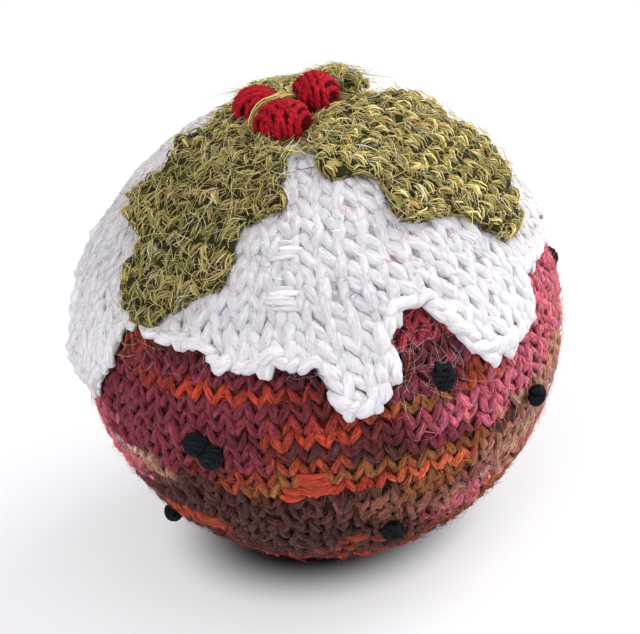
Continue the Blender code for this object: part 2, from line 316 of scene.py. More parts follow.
def yarn_material(name, fibres=7.0, contrast=0.5, plies=0.0, ply_slope=0.5, bump=0.5, bump_depth=0.0003,
                  light_fibre=(0.9, 0.85, 0.8), light_share=0.15, sheen=0.3, roughness=0.9, subsurface=0.0):
    """Spun yarn: the tint of the strand, fibres that run along it, plies that turn round it."""
    nodes = Nodes(name)
    tint = nodes.add("ShaderNodeAttribute", attribute_name="tint").outputs["Color"]
    strand = nodes.add("ShaderNodeUVMap", uv_map="strand").outputs["UV"]
    fine = nodes.noise(nodes.stretch(strand, 0.55, fibres), 1.0, 4.0, 0.7)
    coarse = nodes.noise(nodes.stretch(strand, 0.35, 1.6), 1.0, 2.0, 0.5)
    streaks = nodes.ranged(fine, 0.36, 0.64, 1.0 - contrast, 1.0 + 0.7 * contrast)
    shade = nodes.math("MULTIPLY", streaks, nodes.ranged(coarse, 0.3, 0.7, 0.85, 1.12))
    height = nodes.math("ADD", nodes.math("MULTIPLY", fine, 0.6), nodes.math("MULTIPLY", coarse, 0.4))
    if plies:
        split = nodes.add("ShaderNodeSeparateXYZ")
        nodes.link(strand, split.inputs[0])
        turned = nodes.math("ADD", split.outputs["Y"], nodes.math("MULTIPLY", split.outputs["X"], ply_slope))
        wave = nodes.math("SINE", nodes.math("MULTIPLY", turned, plies), 0.0)
        height = nodes.math("ADD", height, nodes.math("MULTIPLY", wave, 0.25))
        # Painted shade: the grooves between the plies are darkened, along with their bump.
        shade = nodes.math("MULTIPLY", shade, nodes.ranged(wave, -1.0, -0.2, 0.86, 1.0))
    grey = nodes.add("ShaderNodeCombineColor")
    for socket in grey.inputs[:3]:
        nodes.link(shade, socket)
    coloured = nodes.mix("MULTIPLY", 1.0, tint, grey.outputs[0])
    stray = nodes.noise(nodes.stretch(strand, 0.8, fibres * 1.7), 1.0, 2.0, 0.5)
    light = nodes.ranged(stray, 0.60, 0.72, 0.0, light_share)
    nodes.link(nodes.mix("MIX", light, coloured, light_fibre), nodes.shader.inputs["Base Color"])
    nodes.bump(height, bump, bump_depth)
    nodes.shader.inputs["Roughness"].default_value = roughness
    nodes.shader.inputs["Specular IOR Level"].default_value = 0.2
    nodes.shader.inputs["Sheen Weight"].default_value = sheen
    nodes.shader.inputs["Sheen Roughness"].default_value = 0.5
    if subsurface:
        nodes.shader.inputs["Subsurface Weight"].default_value = subsurface
        nodes.shader.inputs["Subsurface Radius"].default_value = (0.0036, 0.0034, 0.0034)
        nodes.shader.inputs["Subsurface Scale"].default_value = 1.0
    return nodes.material


def under_layer_material(name, scale=900.0, depth=0.0004):
    """The inside of the knitting that shows between its stitches; the tints it is given are darkened as painted shade.
    """
    nodes = Nodes(name)
    tint = nodes.add("ShaderNodeAttribute", attribute_name="tint").outputs["Color"]
    place = nodes.add("ShaderNodeTexCoord").outputs["Object"]
    grain = nodes.noise(place, scale, 3.0, 0.7)
    shade = nodes.add("ShaderNodeCombineColor")
    level = nodes.ranged(grain, 0.3, 0.7, 0.5, 1.15)
    for socket in shade.inputs[:3]:
        nodes.link(level, socket)
    nodes.link(nodes.mix("MULTIPLY", 1.0, tint, shade.outputs[0]), nodes.shader.inputs["Base Color"])
    nodes.bump(grain, 0.8, depth)
    nodes.shader.inputs["Roughness"].default_value = 1.0
    nodes.shader.inputs["Specular IOR Level"].default_value = 0.1
    return nodes.material


# ---------------------------------------------------------------------------------------------
# Mesh making
# ---------------------------------------------------------------------------------------------


def add_piece(name, mesh, material, slot, *nodes):
    """Make an object that rides on the body and stands for CAD nodes."""
    mesh.materials.append(material)
    mesh.shade_smooth()
    piece = bpy.data.objects.new(name, mesh)
    bpy.context.scene.collection.objects.link(piece)
    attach(piece, "root")
    if nodes:
        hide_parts(*nodes)
    return piece


def set_tint(mesh, tints):
    """Colour attribute "tint", one linear RGB for each point."""
    colours = np.ones((len(mesh.vertices), 4))
    colours[:, :3] = tints
    attribute = mesh.attributes.new("tint", "FLOAT_COLOR", "POINT")
    attribute.data.foreach_set("color", colours.ravel())


def tube_faces(rings, sides):
    """Faces of one closed tube, and for each corner its ring and its step round the tube."""
    quads, corners = [], []
    for ring in range(rings - 1):
        for side in range(sides):
            after = (side + 1) % sides
            quads.append((ring * sides + side, (ring + 1) * sides + side,
                          (ring + 1) * sides + after, ring * sides + after))
            corners += [(ring, side), (ring + 1, side), (ring + 1, side + 1), (ring, side + 1)]
    first, last = rings * sides, rings * sides + 1
    caps, cap_corners = [], []
    if sides == 3:
        end = (rings - 1) * sides
        caps = [(0, 1, 2), (end + 2, end + 1, end)]
        cap_corners = [(0, 0), (0, 1), (0, 2), (rings - 1, 2), (rings - 1, 1), (rings - 1, 0)]
        return np.array(quads), np.array(caps), np.array(corners, float), np.array(cap_corners, float)
    for side in range(sides):
        after = (side + 1) % sides
        caps.append((first, side, after))
        caps.append((last, (rings - 1) * sides + after, (rings - 1) * sides + side))
        cap_corners += [(0, side + 0.5), (0, side), (0, side + 1)]
        cap_corners += [(rings - 1, side + 0.5), (rings - 1, side + 1), (rings - 1, side)]
    return np.array(quads), np.array(caps), np.array(corners, float), np.array(cap_corners, float)


def tube_mesh(name, paths, ups, half_widths, half_heights, tints, sides, seed=1, lumps=0.0):
    """One mesh of many closed tubes.

    paths and ups are (tube, ring, 3), half_widths and half_heights (tube, ring), tints
    (tube, ring, 3).  UV map "strand" runs along and round each tube in millimetres, and "OFBake"
    gives each tube its own cell.
    """
    tubes, rings = paths.shape[:2]
    forward = unit(np.gradient(paths, axis=1))
    side = unit(np.cross(forward, ups))
    up = np.cross(side, forward)
    turn = np.arange(sides) * 2.0 * math.pi / sides
    generator = np.random.default_rng(seed)
    uneven = 1.0 + lumps * generator.normal(0.0, 1.0, (tubes, rings, sides))
    wide = half_widths[:, :, None] * np.cos(turn) * uneven
    high = half_heights[:, :, None] * np.sin(turn) * uneven
    skin = paths[:, :, None] + side[:, :, None] * wide[..., None] + up[:, :, None] * high[..., None]
    points = skin.reshape(tubes, rings * sides, 3)
    spread = np.repeat(tints, sides, axis=1)
    if sides > 3:
        first = paths[:, 0] - forward[:, 0] * half_widths[:, :1] * 0.5
        last = paths[:, -1] + forward[:, -1] * half_widths[:, -1:] * 0.5
        points = np.concatenate([points, first[:, None], last[:, None]], axis=1)
        spread = np.concatenate([spread, tints[:, :1], tints[:, -1:]], axis=1)
    per_tube = points.shape[1]

    quads, caps, corners, cap_corners = tube_faces(rings, sides)
    starts = (np.arange(tubes) * per_tube)[:, None, None]
    all_quads = (quads[None] + starts).reshape(-1, 4)
    all_caps = (caps[None] + starts).reshape(-1, 3)
    mesh = bpy.data.meshes.new(name)
    mesh.from_pydata(points.reshape(-1, 3).tolist(), [], all_quads.tolist() + all_caps.tolist())

    steps = np.linalg.norm(np.diff(paths, axis=1), axis=-1)
    along = np.concatenate([np.zeros((tubes, 1)), np.cumsum(steps, axis=1)], axis=1) / MM
    girth = 2.0 * math.pi * np.sqrt(half_widths * half_heights).mean(axis=1) / MM
    offsets = generator.uniform(0.0, 200.0, (tubes, 2))
    cells = math.ceil(math.sqrt(tubes))
    column = np.arange(tubes) % cells
    line = np.arange(tubes) // cells
    strand, atlas = [], []
    for wanted in (corners, cap_corners):
        ring = wanted[:, 0].astype(int)
        round_share = wanted[:, 1] / sides
        strand.append(np.stack([along[:, ring] + offsets[:, :1],
                                round_share[None] * girth[:, None] + offsets[:, 1:]], -1).reshape(-1, 2))
        ring_share = np.broadcast_to(ring / (rings - 1), (tubes, len(ring)))
        atlas.append(np.stack([(column[:, None] + 0.06 + 0.88 * ring_share) / cells,
                               (line[:, None] + 0.06 + 0.88 * round_share[None]) / cells], -1).reshape(-1, 2))
    for layer_name, values in (("OFBake", atlas), ("strand", strand)):
        layer = mesh.uv_layers.new(name=layer_name)
        layer.data.foreach_set("uv", np.concatenate(values).ravel())

    set_tint(mesh, spread.reshape(-1, 3))
    return mesh


def keep_above_floor(paths, half_heights):
    """Press what would be under the floor flat against it."""
    lowest = half_heights + 0.0001
    under = np.maximum(lowest - paths[..., 2], 0.0)
    paths[..., 2] += under
    return paths


class Lattice:
    """Places of stitches on the ball, with each stitch's own axes across and up."""

    def __init__(self, longitudes, latitudes, lean=0.0):
        self.longitudes = np.asarray(longitudes, float)
        self.latitudes = np.asarray(latitudes, float)
        self.normal = directions(self.longitudes, self.latitudes)
        east = unit(np.cross(np.array([0.0, 0.0, 1.0]), self.normal))
        north = np.cross(self.normal, east)
        angle = np.radians(np.broadcast_to(lean, self.longitudes.shape))[:, None]
        self.across = east * np.cos(angle) + north * np.sin(angle)
        self.up = north * np.cos(angle) - east * np.sin(angle)

    def ways(self, across, up):
        """Unit vectors to places beside each stitch's middle; across and up are (stitch, point)."""
        flat = (self.normal[:, None] * BALL_RADIUS + self.across[:, None] * across[..., None]
                + self.up[:, None] * up[..., None])
        return unit(flat)


def knit_legs(widths, heights, rings, spread, overlap):
    """Middle lines of the two legs of each V: (leg, ring) across and up, left legs first."""
    share = np.linspace(0.0, 1.0, rings)
    out = spread[0] + (spread[1] - spread[0]) * share * share * (3.0 - 2.0 * share)
    across = widths[:, None] * out[None]
    up = heights[:, None] * (overlap * (share - 0.5))[None]
    return np.concatenate([-across, across]), np.concatenate([up, up])


# ---------------------------------------------------------------------------------------------
# The knitted ball
# ---------------------------------------------------------------------------------------------

ROUND_STITCHES = 72
BODY_RINGS = 5
BODY_SIDES = 6
BODY_YARN_HALF_WIDTH = 0.00085
BODY_YARN_HALF_HEIGHT = 0.00078
BODY_CREST = 0.00055            # the yarn's crests stand this far outside the CAD ball
UNEVEN_FROM_ROW = 13            # the brown rows are knitted loosely, with uneven stitches
UNEVENNESS = 3.0


def stitch_count(latitude):
    """Stitches in a round: decreased eight at a time towards the foot."""
    return int(min(ROUND_STITCHES, 8 * max(1, math.ceil(9.6 * math.cos(math.radians(latitude))))))


def is_under_icing(longitude, latitude):
    """True where a stitch of the ball lies so far under the icing that nothing of it can show."""
    around = directions(np.array([longitude - 4.0, longitude + 4.0, longitude, longitude]),
                        np.array([latitude - 4.0, latitude - 4.0, latitude - 6.0, latitude + 2.0]))
    return bool((ICING.radii(around) > 0.0).all())


def ball_stitches():
    """Longitude, latitude, width and row of every stitch of the ball that can show."""
    generator = np.random.default_rng(11)
    stitches = []
    for row in range(len(STRIPES)):
        latitude = TOP_ROW_LATITUDE - ROW_PITCH_DEGREES * row
        count = stitch_count(latitude)
        width = 2.0 * math.pi * BALL_RADIUS * math.cos(math.radians(latitude)) / count
        for number in range(count):
            longitude = 360.0 * (number + 0.5) / count - 180.0
            wave = 0.5 * math.sin(math.radians(2.0 * longitude + 150.0)) + 0.3 * math.sin(math.radians(7 * longitude))
            jitter = generator.normal(0.0, 1.0, 2)
            place = (longitude + 0.28 * jitter[0], latitude + wave * math.cos(math.radians(latitude)) + 0.22 * jitter[1])
            if not is_under_icing(*place):
                stitches.append((*place, width, row))
    return np.array(stitches)


def leg_heights(rings, depth):
    """How far a leg's middle line lies under its crest, along its length."""
    share = np.linspace(0.0, 1.0, rings)
    return -depth * np.abs(2.0 * share - 0.92) ** 2.4


def make_ball():
    """The cover of the ball, in two pieces, and the layer under it.  Returns the legs' tubes."""
    generator = np.random.default_rng(12)
    stitches = ball_stitches()
    loose = np.where(stitches[:, 3] >= UNEVEN_FROM_ROW, UNEVENNESS, 1.0)
    lean = generator.normal(0.0, 6.5, len(stitches)) * loose
    pitch = np.full(len(stitches), math.radians(ROW_PITCH_DEGREES) * BALL_RADIUS)
    across, up = knit_legs(stitches[:, 2], pitch * generator.normal(1.0, 0.06, len(stitches)), BODY_RINGS,
                           spread=(0.04, 0.46), overlap=1.38)
    double = Lattice(np.tile(stitches[:, 0], 2), np.tile(stitches[:, 1], 2), np.tile(lean, 2))
    across = across + generator.normal(0.0, 0.00018, (len(across), 1)) * np.tile(loose, 2)[:, None]
    up = up + generator.normal(0.0, 0.00018, (len(across), 1)) * np.tile(loose, 2)[:, None]
    ways = double.ways(across, up)
    crest = BODY_CREST - BODY_YARN_HALF_HEIGHT + generator.normal(0.0, 0.00016, (len(across), 1))
    radii = ball_radius(latitude_of(ways)) + crest + leg_heights(BODY_RINGS, 0.0009)
    share = np.linspace(0.0, 1.0, BODY_RINGS)
    plump = 0.66 + 0.34 * np.sin(math.pi * share) ** 0.7
    narrow = (np.tile(stitches[:, 2], 2) / (2.0 * math.pi * BALL_RADIUS / ROUND_STITCHES))[:, None]
    girth = generator.normal(1.0, 0.12, (len(across), 1))
    half_widths = BODY_YARN_HALF_WIDTH * plump * girth * narrow
    half_heights = BODY_YARN_HALF_HEIGHT * plump * girth
    paths = keep_above_floor(CENTRE_POINT + ways * radii[..., None], half_heights)
    rows = np.tile(stitches[:, 3], 2).astype(int)
    tints = np.zeros((len(rows), BODY_RINGS, 3))
    longitudes = longitude_of(ways)
    for row in range(len(STRIPES)):
        chosen = rows == row
        if chosen.any():
            tints[chosen] = row_colour(row, longitudes[chosen] + generator.normal(0.0, 2.2, (chosen.sum(), 1)))
    tints *= np.exp(generator.normal(0.0, 0.12, (len(rows), 1, 1)))
    tints *= np.exp(generator.normal(0.0, (0.05, 0.09, 0.08), (len(rows), 1, 3)))
    material = yarn_material("pudding_wool_yarn", fibres=3.0, contrast=0.85, bump=1.0, bump_depth=0.0008,
                             light_fibre=(0.56, 0.28, 0.25), light_share=0.20, sheen=0.04)
    upper = rows < 12
    for name, chosen in (("pudding_knit_upper", upper), ("pudding_knit_lower", ~upper)):
        mesh = tube_mesh(name, paths[chosen], ways[chosen], half_widths[chosen], half_heights[chosen],
                         tints[chosen], BODY_SIDES, seed=13, lumps=0.18)
        add_piece(name, mesh, material, "pudding_wool", "pudding")
    make_ball_core()
    return paths, ways, half_widths, half_heights, tints


def make_ball_core():
    """The filled ball just under the stitches, in each row's colour darkened as painted shade for the gaps."""
    steps, rings = 96, 60
    latitudes = np.linspace(88.0, -88.0, rings)
    longitudes = np.arange(steps) * 360.0 / steps
    lon, lat = np.meshgrid(longitudes, latitudes)
    ways = directions(lon, lat)
    radii = ball_radius(lat) - 0.0009
    points = CENTRE_POINT + ways * radii[..., None]
    points[..., 2] = np.maximum(points[..., 2], 0.00012)
    top = CENTRE_POINT + np.array([0.0, 0.0, float(ball_radius(90.0)) - 0.0011])
    flat = points.reshape(-1, 3).tolist() + [top.tolist(), [0.0, 0.0, 0.00012]]
    faces = []
    for ring in range(rings - 1):
        for step in range(steps):
            after = (step + 1) % steps
            faces.append((ring * steps + step, (ring + 1) * steps + step,
                          (ring + 1) * steps + after, ring * steps + after))
    for step in range(steps):
        after = (step + 1) % steps
        faces.append((rings * steps, step, after))
        faces.append((rings * steps + 1, (rings - 1) * steps + after, (rings - 1) * steps + step))
    mesh = bpy.data.meshes.new("pudding_core")
    mesh.from_pydata(flat, [], faces)
    # Painted shade: the rows' colours at 40 %, so the gaps between the stitches look dark.
    colours = ball_colour(ways).reshape(-1, 3) * 0.40
    set_tint(mesh, np.concatenate([colours, colours[:1], colours[-1:]]))
    add_piece("pudding_core", mesh, under_layer_material("pudding_wool_inside"), "pudding_wool", "pudding")


# ---------------------------------------------------------------------------------------------
# The icing
# ---------------------------------------------------------------------------------------------

ICING_STITCH = 0.0046
ICING_ROW = 0.0037
ICING_RINGS = 7
ICING_SIDES = 8
ICING_YARN_HALF_WIDTH = 0.00138
ICING_YARN_HALF_HEIGHT = 0.00076
ICING_WHITE = (209, 206, 210)
ICING_CROWN_PAINTED_SHADE = 0.83        # painted shade: the icing is drawn darker towards the crown and lighter on its drips
ICING_LEAN = ((-180, 8), (-120, -6), (-60, 4), (-26, 0), (-14, 6), (-2, 15), (18, 18), (30, 10), (45, 6),
              (70, -4), (110, 10), (150, -4), (180, 8))
EDGE_SAMPLES = 720


def icing_edge():
    """Latitude of the icing's lower edge for each longitude in EDGE_SAMPLES steps."""
    longitudes = np.arange(EDGE_SAMPLES) * 360.0 / EDGE_SAMPLES - 180.0
    low = np.full(EDGE_SAMPLES, -5.0)
    high = np.full(EDGE_SAMPLES, 40.0)
    for _ in range(11):
        middle = 0.5 * (low + high)
        covered = ICING.radii(directions(longitudes, middle)) > 0.0
        high = np.where(covered, middle, high)
        low = np.where(covered, low, middle)
    return longitudes, high


EDGE_LONGITUDES, EDGE_LATITUDES = icing_edge()


def edge_latitude(longitudes):
    return np.interp((np.asarray(longitudes) + 180.0) % 360.0 - 180.0, EDGE_LONGITUDES, EDGE_LATITUDES,
                     period=360.0)


def icing_lean(longitudes, latitudes):
    """How far the columns of the icing lean, in degrees: its drips are knitted at angles."""
    places, leans = np.array(ICING_LEAN, float).T
    turned = (np.asarray(longitudes) + 180.0) % 360.0 - 180.0
    fade = np.clip((62.0 - np.asarray(latitudes)) / 30.0, 0.0, 1.0)
    return np.interp(turned, places, leans) * fade


def is_hidden(way, covers):
    """True if one of the surfaces lies over this place and over its surroundings."""
    lon, lat = float(longitude_of(way)), float(latitude_of(way))
    spread = 2.6
    wide = spread / max(math.cos(math.radians(lat)), 0.2)
    around = directions(np.array([lon - wide, lon + wide, lon, lon]), np.array([lat, lat, lat - spread, lat + spread]))
    hidden = np.zeros(4, bool)
    for surface in covers:
        hidden |= surface.radii(around) > 0.0
    return bool(hidden.all())


def icing_stitches():
    """Places and widths of the icing's stitches, from its lowest row to the crown."""
    generator = np.random.default_rng(21)
    degrees_per_row = math.degrees(ICING_ROW / (BALL_RADIUS + 0.0015))
    leaf_surfaces = list(LEAVES.values())
    stitches = []
    for row in range(24):
        latitude = 5.0 + row * degrees_per_row
        round_radius = (BALL_RADIUS + 0.0015) * math.cos(math.radians(latitude))
        count = 4 * max(2, round(2.0 * math.pi * round_radius / ICING_STITCH / 4.0))
        longitudes = 360.0 * (np.arange(count) + 0.5) / count - 180.0
        leans = icing_lean(longitudes, latitude)
        shift = -np.tan(np.radians(leans)) * max(latitude - 12.0, 0.0) * 0.5
        longitudes = longitudes + shift + generator.normal(0.0, 0.3, count)
        ahead = np.roll(longitudes, -1) - longitudes
        behind = longitudes - np.roll(longitudes, 1)
        spacing = 0.5 * (ahead % 360.0 + behind % 360.0)
        widths = np.clip(np.radians(spacing) * round_radius, 0.7 * ICING_STITCH, 1.5 * ICING_STITCH)
        for longitude, width, lean in zip(longitudes, widths, leans):
            place = latitude + generator.normal(0.0, 0.35) + 0.8 * math.sin(math.radians(3 * longitude))
            if place - 1.3 < float(edge_latitude(longitude)):
                continue
            if is_hidden(directions(longitude, place), leaf_surfaces):
                continue
            stitches.append((longitude, place, width, lean))
    return np.array(stitches)


def icing_radius(ways):
    """Distance to the icing's outside, carried on past its edge."""
    latitudes = latitude_of(ways)
    covered = ICING.radii(ways)
    return np.where(covered > 0.0, np.maximum(covered, ball_radius(latitudes) + 0.0028),
                    ball_radius(latitudes) + 0.0028)


def make_icing():
    generator = np.random.default_rng(22)
    stitches = icing_stitches()
    lean = stitches[:, 3] + generator.normal(0.0, 4.0, len(stitches))
    rows = np.full(len(stitches), ICING_ROW) * generator.normal(1.0, 0.06, len(stitches))
    across, up = knit_legs(stitches[:, 2], rows, ICING_RINGS, spread=(0.05, 0.45), overlap=1.75)
    double = Lattice(np.tile(stitches[:, 0], 2), np.tile(stitches[:, 1], 2), np.tile(lean, 2))
    across = across + generator.normal(0.0, 0.00025, (len(across), 1))
    up = up + generator.normal(0.0, 0.00030, (len(across), 1))
    ways = double.ways(across, up)
    share = np.linspace(0.0, 1.0, ICING_RINGS)
    plump = 0.62 + 0.38 * np.sin(math.pi * share) ** 0.7
    girth = generator.normal(1.0, 0.07, (len(across), 1))
    half_widths = ICING_YARN_HALF_WIDTH * plump * girth * (np.tile(stitches[:, 2], 2) / ICING_STITCH)[:, None]
    half_heights = ICING_YARN_HALF_HEIGHT * plump * girth
    sink = generator.normal(-ICING_YARN_HALF_HEIGHT, 0.00018, (len(across), 1))
    height = np.clip((latitude_of(ways) - 10.0) / 20.0, 0.0, 1.0)
    radii = icing_radius(ways) + sink + leg_heights(ICING_RINGS, 0.0010) * (0.55 + 0.45 * height)
    paths = CENTRE_POINT + ways * radii[..., None]
    tints = np.broadcast_to(linear(ICING_WHITE), (len(across), ICING_RINGS, 3)).copy()
    tints *= generator.normal(1.0, 0.02, (len(across), 1, 1))
    # Painted shade: tints lifted a little on the drips and darkened towards the crown.
    tints *= 1.04 + (ICING_CROWN_PAINTED_SHADE - 1.04) * height[..., None]
    material = yarn_material("icing_yarn_white", fibres=3.2, contrast=0.14, bump=1.0, bump_depth=0.0005,
                             light_fibre=(0.86, 0.86, 0.88), light_share=0.25, sheen=0.05)
    mesh = tube_mesh("icing_knit", paths, ways, half_widths, half_heights, tints, ICING_SIDES, seed=23, lumps=0.10)
    add_piece("icing_knit", mesh, material, "icing_yarn", "icing")
    make_icing_rim(material)
    make_icing_core()
    return paths, ways, half_widths, half_heights, tints


def edge_path():
    """The icing's edge as a closed loop of unit vectors, with how far along the loop each one lies."""
    ways = directions(EDGE_LONGITUDES, EDGE_LATITUDES)
    closed = np.concatenate([ways, ways[:1]])
    steps = np.linalg.norm(np.diff(closed, axis=0), axis=1)
    travelled = np.concatenate([[0.0], np.cumsum(steps)])
    return closed, travelled


RIM_LINK = 0.0030               # distance between links of the cast-off edge
RIM_LINK_LENGTH = 0.0050
RIM_HALF_WIDTH = 0.00145
RIM_INSET = 0.00125


def make_icing_rim(material):
    """The cast-off edge: plump links, one over the next, along the icing's outline."""
    generator = np.random.default_rng(24)
    closed, travelled = edge_path()
    total = travelled[-1] * BALL_RADIUS
    count = int(total / RIM_LINK)
    rings = 7
    share = np.linspace(-0.5, 0.5, rings)
    length = RIM_LINK_LENGTH * generator.normal(1.0, 0.08, (count, 1))
    middle = (np.arange(count)[:, None] + 0.5) * RIM_LINK + generator.normal(0.0, 0.0003, (count, 1))
    place = (middle + share * length) / BALL_RADIUS
    on_edge = np.stack([np.interp(place % travelled[-1], travelled, closed[:, axis]) for axis in range(3)], -1)
    on_edge = unit(on_edge)
    ahead = np.stack([np.interp((place + 0.03) % travelled[-1], travelled, closed[:, axis]) for axis in range(3)], -1)
    behind = np.stack([np.interp((place - 0.03) % travelled[-1], travelled, closed[:, axis]) for axis in range(3)], -1)
    along = unit(ahead - behind)
    inwards = np.cross(on_edge, along)
    inset = RIM_INSET + share * generator.normal(0.0014, 0.0008, (count, 1)) + generator.normal(0.0, 0.0003, (count, 1))
    ways = unit(on_edge + inwards * (inset / BALL_RADIUS)[..., None])
    plump = 0.55 + 0.45 * np.cos(math.pi * share) ** 0.6
    girth = generator.normal(0.97, 0.12, (count, 1))
    half = RIM_HALF_WIDTH * plump * girth
    lift = 0.0010 + 0.0008 * np.cos(math.pi * share) ** 0.8
    radii = ball_radius(latitude_of(ways)) + 0.0004 + lift
    paths = CENTRE_POINT + ways * radii[..., None]
    tints = np.broadcast_to(linear(ICING_WHITE), (count, rings, 3)) * generator.normal(1.0, 0.02, (count, 1, 1))
    mesh = tube_mesh("icing_rim", paths, ways, half, half, tints, ICING_SIDES, seed=25, lumps=0.12)
    add_piece("icing_rim", mesh, material, "icing_yarn", "icing")


def thinned_copy(name, node, keep, tint, material, slot):
    """A CAD node's skin with its outside lowered to a share of its height, as a layer under yarn."""
    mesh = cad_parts[node].data.copy()
    mesh.name = name
    mesh.materials.clear()
    for vertex in mesh.vertices:
        way = (vertex.co - CENTRE).normalized()
        floor = float(ball_radius(latitude_of(np.array(way)))) + 0.0003
        radius = (vertex.co - CENTRE).length
        vertex.co = CENTRE + way * (floor + (radius - floor) * keep)
    set_tint(mesh, np.broadcast_to(linear(tint), (len(mesh.vertices), 3)))
    return add_piece(name, mesh, material, slot, node)


def make_icing_core():
    # Painted shade: the layer under the icing is a grey darker than its yarn, so the gaps between the stitches look
    # shaded.
    thinned_copy("icing_core", "icing", 0.74, (160, 157, 162), under_layer_material("icing_yarn_inside"), "icing_yarn")


# ---------------------------------------------------------------------------------------------
# The holly leaves
# ---------------------------------------------------------------------------------------------

LEAF_COLOURS = (((208, 189, 126), 0.27), ((175, 157, 93), 0.32), ((126, 116, 61), 0.22), ((74, 70, 39), 0.15),
                ((176, 122, 70), 0.015), ((216, 208, 178), 0.025))
LEAF_STITCH = 0.0043
LEAF_ROW = 0.0036
LEAF_LEG_STRANDS = 14
# Painted shade for each leaf: how much darker its strands are drawn for the light that reaches it.
LEAF_PAINTED_SHADES = {"leaf_left": 0.71, "leaf_right": 1.0, "leaf_back": 0.92}
LEAF_LEG_LENGTH = 0.0047
LEAF_LEG_TILT = 0.50            # radians between a leg and the leaf's length
LEAF_STRAND_HALF = 0.00013
LEAF_RINGS = 5


def leaf_heading(surface_name):
    """Longitude of a leaf's midline, from the mean place of its solid."""
    points = np.array([vertex.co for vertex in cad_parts[surface_name].data.vertices])
    middle = points.mean(axis=0)
    return math.degrees(math.atan2(middle[0], -middle[1]))


class LeafMap:
    """Turns distances along and across a leaf into unit vectors from the ball's centre."""

    def __init__(self, name):
        heading = math.radians(leaf_heading(name))
        self.forward = np.array([math.sin(heading), -math.cos(heading), 0.0])
        self.sideways = np.array([math.cos(heading), math.sin(heading), 0.0])
        self.surface = LEAVES[name]
        points = np.array([vertex.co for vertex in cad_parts[name].data.vertices]) - CENTRE_POINT
        away = unit(points)
        self.near = float(np.arccos(away[:, 2].max())) * BALL_RADIUS
        self.far = float(np.arccos(away[:, 2].min())) * BALL_RADIUS

    def ways(self, along, across):
        meridian = along / BALL_RADIUS
        lateral = across / BALL_RADIUS
        ridge = (self.forward * np.sin(meridian)[..., None]
                 + np.array([0.0, 0.0, 1.0]) * np.cos(meridian)[..., None])
        return ridge * np.cos(lateral)[..., None] + self.sideways * np.sin(lateral)[..., None]


def pick_colours(palette, count, generator):
    """Random linear colours from a palette of (sRGB, share)."""
    shares = np.array([share for _, share in palette])
    colours = np.array([linear(colour) for colour, _ in palette])
    picks = generator.choice(len(palette), size=count, p=shares / shares.sum())
    return colours[picks] * np.exp(generator.normal(0.0, 0.12, (count, 1)))


def leaf_legs(leaf, generator):
    """Every leg of the leaf's V stitches (along, across, turn), and how far each lies below the top."""
    legs = []
    for along in np.arange(leaf.near + 0.0010, leaf.far, LEAF_ROW):
        for column in range(-7, 8):
            jitter = generator.normal(0.0, 1.0, 4)
            middle = along + 0.0004 * jitter[0]
            across = column * LEAF_STITCH + 0.0004 * jitter[1]
            for side in (-1.0, 1.0):
                place = across + side * 0.25 * LEAF_STITCH
                turn = side * LEAF_LEG_TILT + 0.22 * jitter[2] + generator.normal(0.0, 0.16)
                legs.append((middle, place, turn))
    legs = np.array(legs)
    covered = leaf.surface.radii(leaf.ways(legs[:, 0], legs[:, 1])) > 0.0
    edges = edge_legs(leaf, generator)
    legs = np.concatenate([legs[covered], edges])
    drop = np.zeros(len(legs))
    drop[-len(edges):] = generator.uniform(0.0, 0.0024, len(edges))
    return legs, drop


def edge_legs(leaf, generator):
    """Legs that follow the leaf's outline, just inside it."""
    step = 0.0012
    along, across = np.meshgrid(np.arange(leaf.near - 0.006, leaf.far + 0.006, step),
                                np.arange(-0.030, 0.030, step), indexing="ij")
    inside = (leaf.surface.radii(leaf.ways(along, across)) > 0.0).astype(float)
    soft = inside
    for axis in (0, 1):
        soft = (np.roll(soft, 1, axis) + soft + np.roll(soft, -1, axis)) / 3.0
    slope_along, slope_across = np.gradient(soft)
    rim = (inside > 0.5) & (soft < 0.95)
    turn = np.arctan2(slope_across, slope_along) + 0.5 * math.pi
    legs = np.stack([along[rim], across[rim], turn[rim]], -1)
    legs = legs[generator.uniform(0.0, 1.0, len(legs)) < 0.55]
    return legs + generator.normal(0.0, 1.0, legs.shape) * np.array([0.0002, 0.0002, 0.25])


def pull_inside(leaf, legs, along, across):
    """Shrink each strand towards its leg's middle until it lies within the leaf's outline."""
    share = np.ones((len(legs), 1))
    for smaller in (0.8, 0.6, 0.4, 0.2):
        tried = leaf.ways(legs[:, :1] + share * along, legs[:, 1:2] + share * across)
        outside = (leaf.surface.radii(tried) == 0.0).any(axis=1)
        share[outside] = smaller
    return share


